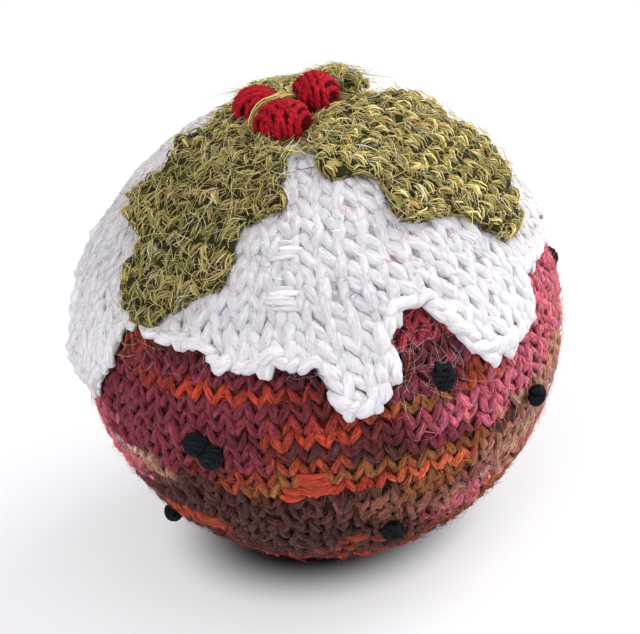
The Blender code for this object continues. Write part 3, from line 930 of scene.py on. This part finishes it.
def make_leaf(name, seed, material):
    """A leaf of tweedy yarn: V stitches whose legs are bundles of loose strands."""
    generator = np.random.default_rng(seed)
    leaf = LeafMap(name)
    single, drop = leaf_legs(leaf, generator)
    legs = np.repeat(single, LEAF_LEG_STRANDS, axis=0)
    count = len(legs)
    share = np.linspace(-0.5, 0.5, LEAF_RINGS)
    leg_shade = np.repeat(np.exp(generator.normal(0.05, 0.22, len(single))), LEAF_LEG_STRANDS)
    spoke = generator.uniform(0.0, 2.0 * math.pi, (count, 1))
    ring = np.sqrt(generator.uniform(0.0, 1.0, (count, 1)))
    beside = 0.00078 * ring * np.cos(spoke)
    above = 0.00072 * ring * np.sin(spoke)
    taper = 0.55 + 0.45 * np.cos(math.pi * share)
    length = LEAF_LEG_LENGTH * generator.normal(1.0, 0.14, (count, 1))
    turn = legs[:, 2:3] + generator.normal(0.0, 0.15, (count, 1))
    leg_bow = np.repeat(generator.normal(0.0, 0.00035, len(single)), LEAF_LEG_STRANDS)[:, None]
    bow = (leg_bow + generator.normal(0.0, 0.00020, (count, 1))) * (1.0 - (2.0 * share) ** 2)
    wobble = generator.normal(0.0, 0.00010, (count, LEAF_RINGS))
    forwards = share * length
    sideways = beside * taper + bow + wobble
    along = forwards * np.cos(turn) - sideways * np.sin(turn)
    across = forwards * np.sin(turn) + sideways * np.cos(turn)
    fit = pull_inside(leaf, legs, along, across)
    ways = leaf.ways(legs[:, :1] + fit * along, legs[:, 1:2] + fit * across)
    radii = leaf.surface.radii(ways)
    radii = np.where(radii > 0.0, radii, radii.max(axis=1, keepdims=True))
    arch = 0.0012 * (np.cos(math.pi * share) - 1.0)
    radii = radii - 0.0007 + above * taper + arch - np.repeat(drop, LEAF_LEG_STRANDS)[:, None]
    half = LEAF_STRAND_HALF * generator.uniform(0.6, 1.5, (count, 1)) * (0.45 + 0.55 * np.cos(math.pi * share) ** 0.5)
    paths = CENTRE_POINT + ways * radii[..., None]
    # Painted shade: each leaf darkened by how it is lit, and the lower strands of a bundle darker than the upper ones.
    painted_depth_shade = LEAF_PAINTED_SHADES[name] * (0.78 + 0.42 * above / 0.00072)
    tints = pick_colours(LEAF_COLOURS, count, generator) * leg_shade[:, None] * painted_depth_shade
    kept = (fit[:, 0] > 0.3) & (radii.min(axis=1) > 0.03)
    tints = np.repeat(tints[:, None], LEAF_RINGS, axis=1)
    mesh = tube_mesh(f"{name}_strands", paths[kept], ways[kept], half[kept], half[kept], tints[kept], 3, seed=seed)
    add_piece(f"{name}_strands", mesh, material, "leaf_wool", name)


def make_leaves():
    strands = yarn_material("leaf_wool_strands", fibres=9.0, contrast=0.4, bump=0.4, bump_depth=0.0001,
                            light_fibre=(0.80, 0.76, 0.55), light_share=0.2, sheen=0.05)
    inside = under_layer_material("leaf_wool_inside", 1100.0)
    for number, name in enumerate(LEAVES):
        make_leaf(name, 31 + 2 * number, strands)
        leaf_core(name, inside)


def leaf_core(name, material):
    """The leaf's own solid, a little smaller: darkened between its strands as painted shade, paler at its edge."""
    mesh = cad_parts[name].data.copy()
    mesh.name = f"{name}_core"
    mesh.materials.clear()
    middle = sum(((vertex.co - CENTRE).normalized() for vertex in mesh.vertices), Vector()).normalized()
    tints = np.zeros((len(mesh.vertices), 3))
    for vertex in mesh.vertices:
        radius = (vertex.co - CENTRE).length
        way = (vertex.co - CENTRE).normalized()
        above = radius - (ICING.radius(way) or radius)
        # Painted shade: dark where the core stands well above the icing under the strands, paler at its edge by the
        # icing.
        tints[vertex.index] = linear((46, 43, 24)) if above > 0.0012 else linear((128, 118, 66))
        way = (middle + (way - middle) * 0.965).normalized()
        under = ICING.radius(way)
        if under:
            vertex.co = CENTRE + way * (under + (radius - under) * 0.62)
    set_tint(mesh, tints)
    add_piece(f"{name}_core", mesh, material, "leaf_wool", name)


# ---------------------------------------------------------------------------------------------
# Berries and currants
# ---------------------------------------------------------------------------------------------

BERRY_RED = (156, 4, 25)
BERRY_TURNS = {"berry_front": 58.0, "berry_right": 40.0, "berry_left": 125.0}
CURRANT_BLACK = (11, 14, 21)
LONG_KNOT = 1.35                # a knot longer than this share of its width has two lobes


def wound_strands(middle, half, axes, generator, strands, turn, thickness, rings=13):
    """Strands wound over a bobble in two hanks, the second askew to the first and over it."""
    share = np.linspace(-1.0, 1.0, rings)
    under = math.ceil(0.6 * strands)
    paths, ups = [], []
    for number in range(strands):
        if number < under:
            slide = -0.86 + 1.66 * number / (under - 1)
            askew, rise = turn, 1.0
        else:
            slide = -0.05 + 0.85 * (number - under) / (strands - under - 1)
            askew, rise = turn + 0.95, 1.07
        askew += generator.normal(0.0, 0.10)
        slide = min(max(slide + generator.normal(0.0, 0.03), -0.88), 0.88)
        flat = math.sqrt(1.0 - slide ** 2)
        swing = share * math.pi * 0.62
        local = np.stack([flat * np.sin(swing), slide + 0.10 * np.sin(swing), flat * np.cos(swing)], -1)
        cos_turn, sin_turn = math.cos(askew), math.sin(askew)
        spun = np.stack([local[:, 0] * cos_turn - local[:, 1] * sin_turn,
                         local[:, 0] * sin_turn + local[:, 1] * cos_turn, local[:, 2]], -1)
        paths.append((middle + spun * (half - thickness) * rise) @ axes)
        ups.append(unit(spun @ axes))
    return np.array(paths), np.array(ups)


def coiled_strands(middle, half, axes, generator, thickness, rings=19):
    """A long knot: two lobes side by side, each of strands coiled round a small hollow."""
    turn = np.linspace(0.0, 2.0 * math.pi, rings)
    lobe = half[1]
    low = middle[2] - 0.55 * half[2]
    paths, ups = [], []
    for side in (-1.0, 1.0):
        for level in range(4):
            radius = lobe - thickness * (0.9 + 0.30 * level ** 1.5) + generator.normal(0.0, 0.00004)
            height = low + thickness * (0.6 + 0.85 * level) - 0.10 * thickness * level ** 2
            centre = np.array([middle[0] + side * (half[0] - lobe), middle[1], height])
            tilt = generator.normal(0.0, 0.10, 2)
            ring = np.stack([np.cos(turn), np.sin(turn), tilt[0] * np.cos(turn) + tilt[1] * np.sin(turn)], -1)
            paths.append((centre + ring * radius) @ axes)
            ups.append(unit((ring + np.array([0.0, 0.0, 0.8])) @ axes))
    return np.array(paths), np.array(ups)


def ply_twist(paths, ups, radius, plies, pitch):
    """Split each strand into plies that wind round it."""
    forward = unit(np.gradient(paths, axis=1))
    side = unit(np.cross(forward, ups))
    up = np.cross(side, forward)
    steps = np.linalg.norm(np.diff(paths, axis=1), axis=-1)
    along = np.concatenate([np.zeros((len(paths), 1)), np.cumsum(steps, axis=1)], axis=1)
    wound, wound_ups = [], []
    for ply in range(plies):
        angle = 2.0 * math.pi * (along / pitch + ply / plies)
        out = side * np.cos(angle)[..., None] + up * np.sin(angle)[..., None]
        wound.append(paths + out * radius)
        wound_ups.append(out)
    return np.concatenate(wound), np.concatenate(wound_ups)


def bobble(node, strands, turn, thickness, colour, material, inside, slot, seed, axes=None):
    """A berry or a currant: plied strands wound over a core the size of its solid."""
    generator = np.random.default_rng(seed)
    points = np.array([vertex.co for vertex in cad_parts[node].data.vertices])
    axes = np.eye(3) if axes is None else axes
    local = points @ axes.T
    low, high = local.min(axis=0), local.max(axis=0)
    middle = 0.5 * (low + high)
    half = 0.5 * (high - low)
    middle[2] = low[2] + half[2] * 0.8
    half[2] *= 1.2
    if half[0] > LONG_KNOT * half[1]:
        half = half * 1.08
        thickness *= 1.35
        paths, ups = coiled_strands(middle, half, axes, generator, thickness)
    else:
        paths, ups = wound_strands(middle, half, axes, generator, strands, turn, thickness)
    wound, wound_ups = ply_twist(paths, ups, thickness * 0.42, 3, thickness * 5.5)
    girth = np.full(wound.shape[:2], thickness * 0.56)
    tints = linear(colour) * np.exp(generator.normal(0.0, 0.12, (len(wound), 1, 1))) * np.ones((1, wound.shape[1], 1))
    wound = keep_above_floor(wound, girth)
    mesh = tube_mesh(f"{node}_yarn", wound, wound_ups, girth, girth, tints, 5, seed=seed, lumps=0.05)
    add_piece(f"{node}_yarn", mesh, material, slot, node)
    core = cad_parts[node].data.copy()
    core.name = f"{node}_core"
    core.materials.clear()
    centre = Vector(middle @ axes)
    filled = 0.60 if half[0] > LONG_KNOT * half[1] else 0.84
    for vertex in core.vertices:
        vertex.co = centre + (vertex.co - centre) * filled
    # Painted shade: the core is the yarn's colour at 24 %, so the gaps between the wraps look dark.
    set_tint(core, np.broadcast_to(linear(colour) * 0.24, (len(core.vertices), 3)))
    add_piece(f"{node}_core", core, inside, slot, node)


def make_berries():
    yarn = yarn_material("berry_wool_yarn", fibres=3.5, contrast=0.6, bump=0.8, bump_depth=0.0003,
                         light_fibre=(0.60, 0.03, 0.06), light_share=0.2, sheen=0.0, roughness=0.8)
    inside = under_layer_material("berry_wool_inside")
    for number, (node, turn) in enumerate(BERRY_TURNS.items()):
        bobble(node, 11, math.radians(turn), 0.00078, BERRY_RED, yarn, inside, "berry_wool", 41 + number)


def make_currants():
    yarn = yarn_material("currant_wool_yarn", fibres=3.5, contrast=0.5, bump=0.7, bump_depth=0.0003,
                         light_fibre=(0.07, 0.08, 0.10), light_share=0.35, sheen=0.0, roughness=0.9)
    inside = under_layer_material("currant_wool_inside")
    for number in range(1, 14):
        node = f"currant_{number:02d}"
        points = np.array([vertex.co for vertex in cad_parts[node].data.vertices])
        normal = unit(points.mean(axis=0) - CENTRE_POINT)
        flat = points - points.mean(axis=0)
        flat -= np.outer(flat @ normal, normal)
        long_axis = np.linalg.eigh(flat.T @ flat)[1][:, 2]
        long_axis = unit(long_axis - normal * (long_axis @ normal))
        axes = np.stack([long_axis, np.cross(normal, long_axis), normal])
        bobble(node, 7, 0.4 * math.pi, 0.00066, CURRANT_BLACK, yarn, inside, "currant_wool", 60 + number, axes)


# ---------------------------------------------------------------------------------------------
# Loose fibres
# ---------------------------------------------------------------------------------------------


def random_ways(generator, count, low, high):
    """Even random directions between two latitudes."""
    height = generator.uniform(math.sin(math.radians(low)), math.sin(math.radians(high)), count)
    return directions(generator.uniform(-180.0, 180.0, count), np.degrees(np.arcsin(height)))


def yarn_roots(tubes, count, generator, stray):
    """Places on the outside of a knit's legs for fibres to start: way, radius, heading, tint."""
    paths, ups, half_widths, half_heights, tints = tubes
    tube = generator.integers(0, len(paths), count)
    ring = generator.integers(0, paths.shape[1] - 1, count)
    share = generator.uniform(0.0, 1.0, (count, 1))
    place = paths[tube, ring] * (1.0 - share) + paths[tube, ring + 1] * share
    forward = unit(paths[tube, ring + 1] - paths[tube, ring])
    up = unit(ups[tube, ring])
    side = unit(np.cross(forward, up))
    spoke = generator.uniform(0.12, 0.88, (count, 1)) * math.pi
    place = (place + side * np.cos(spoke) * half_widths[tube, ring, None]
             + up * np.sin(spoke) * half_heights[tube, ring, None])
    turn = generator.normal(0.0, stray, (count, 1))
    flip = generator.choice((-1.0, 1.0), (count, 1))
    heading = unit(forward * np.cos(turn) * flip + side * np.sin(turn))
    away = place - CENTRE_POINT
    return unit(away), np.linalg.norm(away, axis=1), heading, tints[tube, ring]


def hairs(name, ways, radii, tints, material, slot, seed, length, lift, thickness, rings=4, curl=0.35,
          ahead=None):
    """Fine fibres that lie on the knitting and lift off it, as closed tapered tubes."""
    generator = np.random.default_rng(seed)
    count = len(ways)
    if ahead is None:
        east = unit(np.cross(np.array([0.0, 0.0, 1.0]), ways))
        north = np.cross(ways, east)
        heading = generator.uniform(0.0, 2.0 * math.pi, (count, 1))
        ahead = east * np.cos(heading) + north * np.sin(heading)
    beside = np.cross(ways, ahead)
    share = np.linspace(0.0, 1.0, rings)
    reach = length * np.exp(generator.normal(0.0, 0.4, (count, 1)))
    rise = lift * generator.exponential(1.0, (count, 1)) ** 1.6
    rise = np.minimum(rise, 3.5 * lift) * share ** 1.3
    bend = curl * reach * generator.normal(0.0, 1.0, (count, 1)) * share ** 2
    hook = curl * 0.5 * reach * generator.normal(0.0, 1.0, (count, 1)) * np.sin(share * math.pi)
    start = CENTRE_POINT + ways * radii[:, None]
    paths = (start[:, None] + ahead[:, None] * (share * reach)[..., None]
             + beside[:, None] * (bend + hook)[..., None] + ways[:, None] * rise[..., None])
    out = paths - CENTRE_POINT
    flat = np.linalg.norm(out, axis=-1)
    target = radii[:, None] + rise
    paths = CENTRE_POINT + out * (target / flat)[..., None]
    half = thickness * generator.uniform(0.7, 1.3, (count, 1)) * (1.0 - 0.75 * share ** 2)
    paths = keep_above_floor(paths, half)
    ups = np.broadcast_to(ways[:, None], paths.shape)
    mesh = tube_mesh(name, paths, ups, half, half, np.repeat(tints[:, None], rings, axis=1), 3, seed=seed)
    return add_piece(name, mesh, material, slot)


def make_fibres(ball_tubes, icing_tubes):
    generator = np.random.default_rng(71)
    wool = yarn_material("pudding_wool_fibres", contrast=0.2, bump=0.1, sheen=0.0, light_share=0.0)
    for number in range(2):
        ways, radii, ahead, tints = yarn_roots(ball_tubes, 9500, generator, 0.95)
        tints = tints * generator.uniform(0.6, 1.9, (len(ways), 1)) + 0.003
        hairs(f"pudding_fibres_{number + 1}", ways, radii, tints, wool, "pudding_wool", 72 + number, 0.0019, 0.00032,
              0.000068, rings=2, curl=0.0, ahead=ahead)

    make_fuzz(wool)
    white = yarn_material("icing_yarn_fibres", contrast=0.1, bump=0.1, sheen=0.0, light_share=0.0)
    ways, radii, ahead, tints = yarn_roots(icing_tubes, 8500, generator, 0.35)
    inside = latitude_of(ways) > edge_latitude(longitude_of(ways)) + 2.5
    hairs("icing_fibres", ways[inside], radii[inside], tints[inside] * 1.25, white, "icing_yarn", 74, 0.0022, 0.0002,
          0.000060, rings=2, curl=0.0, ahead=ahead[inside])

    straw = yarn_material("leaf_wool_fibres", contrast=0.2, bump=0.1, sheen=0.0, light_share=0.0)
    palette = (((206, 194, 134), 0.42), ((166, 152, 86), 0.50), ((222, 216, 190), 0.07), ((178, 110, 60), 0.01))
    for number, (name, surface) in enumerate(LEAVES.items()):
        ways = random_ways(generator, 22000, 15.0, 84.0)
        ways = ways[surface.radii(ways) > 0.0][:800]
        radii = surface.radii(ways) - generator.uniform(0.0, 0.0006, len(ways))
        tints = pick_colours(palette, len(ways), generator)
        hairs(f"{name}_fibres", ways, radii, tints, straw, "leaf_wool", 75 + number, 0.0034, 0.0004, 0.000060,
              curl=0.5)
    make_crown_tufts(straw)
    make_crown_loops(straw)
    make_wisps(white, straw)


def make_fuzz(wool):
    """Fine pale hairs that lie every way over the ball's stitches."""
    generator = np.random.default_rng(86)
    ways = random_ways(generator, 2000, -60.0, 30.0)
    ways = ways[ICING.radii(ways) == 0.0]
    radii = ball_radius(latitude_of(ways)) + BODY_CREST
    tints = ball_colour(ways) * generator.uniform(0.9, 1.9, (len(ways), 1)) + 0.05
    hairs("pudding_fuzz", ways, radii, tints, wool, "pudding_wool", 87, 0.0030, 0.0003, 0.000024, rings=5, curl=0.6)


def make_crown_tufts(straw):
    """Leaf yarn that fills the gaps between the leaves and the berries they are sewn on with."""
    generator = np.random.default_rng(79)
    ways = random_ways(generator, 16000, 70.0, 88.0)
    spread = 1.6
    for name in BERRY_TURNS:
        ways = ways[Surface(name).radii(ways) == 0.0]
    east = unit(np.cross(np.array([0.0, 0.0, 1.0]), ways))
    north = np.cross(ways, east)
    beside_leaf = np.zeros(len(ways), bool)
    for step in (east, -east, north, -north):
        around = unit(ways + step * math.radians(spread))
        for surface in LEAVES.values():
            beside_leaf |= surface.radii(around) > 0.0
    for surface in LEAVES.values():
        beside_leaf &= surface.radii(ways) == 0.0
    ways = ways[beside_leaf][:900]
    radii = icing_radius(ways) + generator.uniform(0.0004, 0.0022, len(ways))
    tints = pick_colours(LEAF_COLOURS, len(ways), generator) * 0.9
    hairs("leaf_crown_tufts", ways, radii, tints, straw, "leaf_wool", 80, 0.0030, 0.0003, 0.00015, rings=4, curl=0.4)


# Straw yarn sewn over the crown between the berries: start and end on the crown, and height.
CROWN_LOOPS = (
    ((-0.0088, -0.0072), (0.0032, 0.0024), 0.0054),
    ((-0.0092, -0.0064), (0.0026, 0.0030), 0.0050),
    ((0.0046, -0.0052), (0.0128, 0.0016), 0.0014),
)


def make_crown_loops(straw):
    """Bundles of straw strands that hold the berries down."""
    generator = np.random.default_rng(84)
    rings = 9
    share = np.linspace(0.0, 1.0, rings)
    paths = []
    for start, end, height in CROWN_LOOPS:
        for _ in range(26):
            first = np.array(start) + generator.normal(0.0, 0.00045, 2)
            last = np.array(end) + generator.normal(0.0, 0.00045, 2)
            bow = generator.normal(0.0, 0.0007, 2) * np.sin(math.pi * share)[:, None]
            flat = first + (last - first) * share[:, None] + bow
            ways = unit(np.column_stack([flat, np.full(rings, BALL_RADIUS)]))
            lift = height * np.sin(math.pi * share) ** 0.6 + generator.normal(0.0, 0.0003)
            paths.append(CENTRE_POINT + ways * (icing_radius(ways) + 0.0006 + lift)[:, None])
    paths = np.array(paths)
    ups = unit(paths - CENTRE_POINT)
    half = LEAF_STRAND_HALF * generator.uniform(0.7, 1.4, (len(paths), 1)) * np.ones(rings)
    tints = pick_colours(LEAF_COLOURS[:3], len(paths), generator) * np.array((1.08, 0.94, 0.98))
    mesh = tube_mesh("leaf_crown_loops", paths, ups, half, half, np.repeat(tints[:, None], rings, axis=1), 3, seed=85)
    add_piece("leaf_crown_loops", mesh, straw, "leaf_wool")


def scattered(generator, count, longitudes, latitudes):
    """Random directions within a range of longitudes and latitudes."""
    return directions(generator.uniform(*longitudes, count), generator.uniform(*latitudes, count))


def make_wisps(white, straw):
    """Long stray hairs: white ones off the icing beside its notch, straw ones off the leaves."""
    generator = np.random.default_rng(81)
    ways = np.concatenate([scattered(generator, 74, (14, 30), (5, 26)), scattered(generator, 20, (-45, 6), (15, 20)),
                           scattered(generator, 14, (24, 30), (7, 11)), scattered(generator, 50, (60, 300), (6, 20))])
    radii = ball_radius(latitude_of(ways)) + 0.0007
    tints = np.broadcast_to(linear((232, 222, 222)), (len(ways), 3))
    hairs("icing_wisps", ways, radii, tints, white, "icing_yarn", 82, 0.0046, 0.0005, 0.000016, rings=7, curl=0.45)
    ways = np.concatenate([scattered(generator, 16, (-60, -44), (14, 24)), scattered(generator, 8, (50, 80), (-6, 14)),
                           scattered(generator, 14, (150, 190), (5, 24))])
    radii = ball_radius(latitude_of(ways)) + 0.0008
    tints = np.broadcast_to(linear((188, 166, 100)), (len(ways), 3))
    hairs("leaf_wisps", ways, radii, tints, straw, "leaf_wool", 83, 0.0070, 0.0010, 0.000045, rings=7, curl=0.6)


# ---------------------------------------------------------------------------------------------
# Glitter and mending
# ---------------------------------------------------------------------------------------------

GLITTER_COLOURS = (((228, 116, 186), 0.32), ((172, 150, 226), 0.18), ((146, 196, 240), 0.18), ((186, 240, 224), 0.14),
                   ((252, 252, 255), 0.18))


def make_glitter():
    """Short bits of shiny filament that come to the surface of the icing's yarn."""
    generator = np.random.default_rng(91)
    ways = random_ways(generator, 1500, 0.0, 86.0)
    ways = ways[ICING.radii(ways) > 0.0]
    free = np.ones(len(ways), bool)
    for surface in LEAVES.values():
        free &= surface.radii(ways) == 0.0
    ways = ways[free][:520]
    nodes = Nodes("glitter_filament")
    tint = nodes.add("ShaderNodeAttribute", attribute_name="tint").outputs["Color"]
    strand = nodes.add("ShaderNodeUVMap", uv_map="strand").outputs["UV"]
    shimmer = nodes.noise(strand, 1.3, 1.0, 0.5)
    colour = nodes.mix("MIX", nodes.ranged(shimmer, 0.45, 0.60, 0.0, 0.55), tint, (0.95, 0.95, 1.0))
    nodes.link(colour, nodes.shader.inputs["Base Color"])
    nodes.shader.inputs["Metallic"].default_value = 0.35
    nodes.shader.inputs["Roughness"].default_value = 0.22
    radii = ICING.radii(ways) + generator.uniform(-0.0003, 0.0001, len(ways))
    tints = pick_colours(GLITTER_COLOURS, len(ways), generator)
    hairs("icing_glitter", ways, radii, tints, nodes.material, "icing_yarn", 92, 0.0016, 0.0001, 0.00011, curl=0.12)


# Satin stitches that darn the ball: longitude and latitude of the middle, length, strands, turn
# and colour.
MENDS = (
    (-6.6, -11.4, 0.0084, 6, -4.0, "orange"),
    (-12.6, -14.2, 0.0052, 3, -14.0, "orange"),
    (-39.0, -28.0, 0.0075, 3, -10.0, "rust"),
    (1.0, -34.5, 0.0036, 2, 4.0, "rust"),
    (165.0, -12.0, 0.0075, 4, 8.0, "orange"),
    (-150.0, -20.0, 0.0060, 3, -8.0, "rust"),
)
MEND_HALF = 0.00060
# Blocks of yarn darned over the icing.
ICING_MENDS = (
    (-9.0, 33.5, 0.0072, 5, -4.0, "white"),
    (-7.5, 44.5, 0.0066, 4, 0.0, "white"),
    (150.0, 30.0, 0.0072, 5, 6.0, "white"),
)
ICING_MEND_HALF = 0.00062
MEND_SPACING = 1.6              # between strands, as a multiple of their half width


def darned(name, mends, half, radius_of, shades, material, slot, node, seed):
    """Blocks of strands sewn across the knitting, side by side."""
    generator = np.random.default_rng(seed)
    rings = 9
    share = np.linspace(-0.5, 0.5, rings)
    paths, ups, halves, tints = [], [], [], []
    for longitude, latitude, length, strands, turn, colour in mends:
        lattice = Lattice([longitude], [latitude], turn)
        for number in range(strands):
            shift = (number - 0.5 * (strands - 1)) * half * MEND_SPACING
            across = (share * length * generator.normal(1.0, 0.10) + generator.normal(0.0, 0.0004))[None]
            up = (shift + generator.normal(0.0, 0.00012) + share * generator.normal(0.0, 0.0004))[None]
            ways = lattice.ways(across, up * np.ones((1, rings)))[0]
            lift = 0.0014 * np.cos(math.pi * share) ** 0.5 - 0.0008
            paths.append(CENTRE_POINT + ways * (radius_of(ways) + lift)[:, None])
            ups.append(ways)
            halves.append(half * generator.normal(1.0, 0.1) * (0.6 + 0.4 * np.cos(math.pi * share) ** 0.5))
            tints.append(np.broadcast_to(shades[colour] * math.exp(generator.normal(0.0, 0.13)), (rings, 3)))
    halves = np.array(halves)
    mesh = tube_mesh(name, np.array(paths), np.array(ups), halves, halves, np.array(tints), 8, seed=seed + 1, lumps=0.05)
    add_piece(name, mesh, material, slot, node)


def make_mends():
    wool = yarn_material("mending_wool_yarn", fibres=3.0, contrast=0.5, bump=0.6, bump_depth=0.0003,
                         light_fibre=(0.60, 0.30, 0.18), light_share=0.2, sheen=0.05)
    shades = {name: linear(colour) * 0.80 for name, colour in WOOL_COLOURS.items()}
    darned("mending_stitches", MENDS, MEND_HALF, lambda ways: ball_radius(latitude_of(ways)), shades, wool,
           "pudding_wool", "pudding", 95)
    white = bpy.data.materials["icing_yarn_white"]
    darned("icing_darning", ICING_MENDS, ICING_MEND_HALF, lambda ways: icing_radius(ways) - 0.0008,
           {"white": linear(ICING_WHITE)}, white, "icing_yarn", "icing", 97)


# ---------------------------------------------------------------------------------------------
# Stage
# ---------------------------------------------------------------------------------------------

CAMERA_DISTANCE = 0.50
CAMERA_ELEVATION = 28.5
CAMERA_ROLL = 8.5
CAMERA_LENS = 134.3


def make_camera():
    data = bpy.data.cameras.new("camera")
    data.lens = CAMERA_LENS
    data.sensor_width = 36.0
    data.clip_end = 20.0
    camera = bpy.data.objects.new("camera", data)
    bpy.context.scene.collection.objects.link(camera)
    rise = math.radians(CAMERA_ELEVATION)
    turn = Matrix.Rotation(0.5 * math.pi - rise, 3, "X")
    roll = Matrix.Rotation(-math.radians(CAMERA_ROLL), 3, "Z")
    place = CENTRE + Vector((0.0, -math.cos(rise), math.sin(rise))) * CAMERA_DISTANCE
    camera.matrix_world = Matrix.Translation(place) @ (turn @ roll).to_4x4()
    bpy.context.scene.camera = camera


def add_light(name, place, size, energy, colour=(1.0, 1.0, 1.0)):
    data = bpy.data.lights.new(name, "AREA")
    data.size = size
    data.energy = energy
    data.color = colour
    light = bpy.data.objects.new(name, data)
    light.location = place
    light.rotation_euler = (CENTRE - Vector(place)).to_track_quat("-Z", "Y").to_euler()
    bpy.context.scene.collection.objects.link(light)


# A contact shadow painted into the table: its colour and glow are black right under the ball and come back between the
# two reaches (m).
SHADE_CENTRE = (-0.006, 0.0, 0.0)
SHADE_REACH = (0.0175, 0.036)
SHADE_DEPTH = (0.0, 1.0)
TABLE_COLOUR = (0.34, 0.335, 0.35)
TABLE_GLOW = 0.51


def make_stage():
    """A pale table top that glows, with a contact shadow painted under the ball, a large soft light high on the right,
    and weak light from all round.
    """
    mesh = bpy.data.meshes.new("table")
    half = 6.0
    mesh.from_pydata([(-half, -half, 0.0), (half, -half, 0.0), (half, half, 0.0), (-half, half, 0.0)], [], [(0, 1, 2, 3)])
    table = bpy.data.objects.new("table", mesh)
    bpy.context.scene.collection.objects.link(table)
    nodes = Nodes("table_white")
    nodes.shader.inputs["Emission Color"].default_value = (0.99, 0.98, 1.0, 1.0)
    place = nodes.add("ShaderNodeTexCoord").outputs["Object"]
    reach = nodes.add("ShaderNodeVectorMath", operation="DISTANCE")
    nodes.link(place, reach.inputs[0])
    reach.inputs[1].default_value = SHADE_CENTRE
    # Painted shadow: the table's colour and glow fall to black near the ball.
    clear_of_painted_shadow = nodes.ranged(reach.outputs["Value"], *SHADE_REACH, *SHADE_DEPTH)
    clear_of_painted_shadow.node.interpolation_type = "SMOOTHSTEP"
    nodes.link(nodes.mix("MIX", clear_of_painted_shadow, (0.0, 0.0, 0.0), TABLE_COLOUR), nodes.shader.inputs["Base Color"])
    nodes.link(nodes.math("MULTIPLY", clear_of_painted_shadow, TABLE_GLOW), nodes.shader.inputs["Emission Strength"])
    nodes.shader.inputs["Roughness"].default_value = 0.6
    mesh.materials.append(nodes.material)

    add_light("key_light", (0.85, 0.35, 0.85), 0.9, 16.0)
    add_light("top_light", (0.1, -0.3, 1.2), 0.9, 6.6)
    add_light("left_light", (-0.7, -1.0, 0.6), 0.9, 10.8)
    add_light("right_light", (1.1, -0.25, 0.30), 0.7, 6.0)

    world = bpy.data.worlds.new("studio")
    world.use_nodes = True
    background = world.node_tree.nodes["Background"]
    background.inputs["Color"].default_value = (0.97, 0.97, 1.0, 1.0)
    background.inputs["Strength"].default_value = 0.50
    bpy.context.scene.world = world
    bpy.context.scene.view_settings.view_transform = "Standard"


make_camera()
make_stage()
ball_tubes = make_ball()
icing_tubes = make_icing()
make_leaves()
make_berries()
make_currants()
make_fibres(ball_tubes, icing_tubes)
make_glitter()
make_mends()
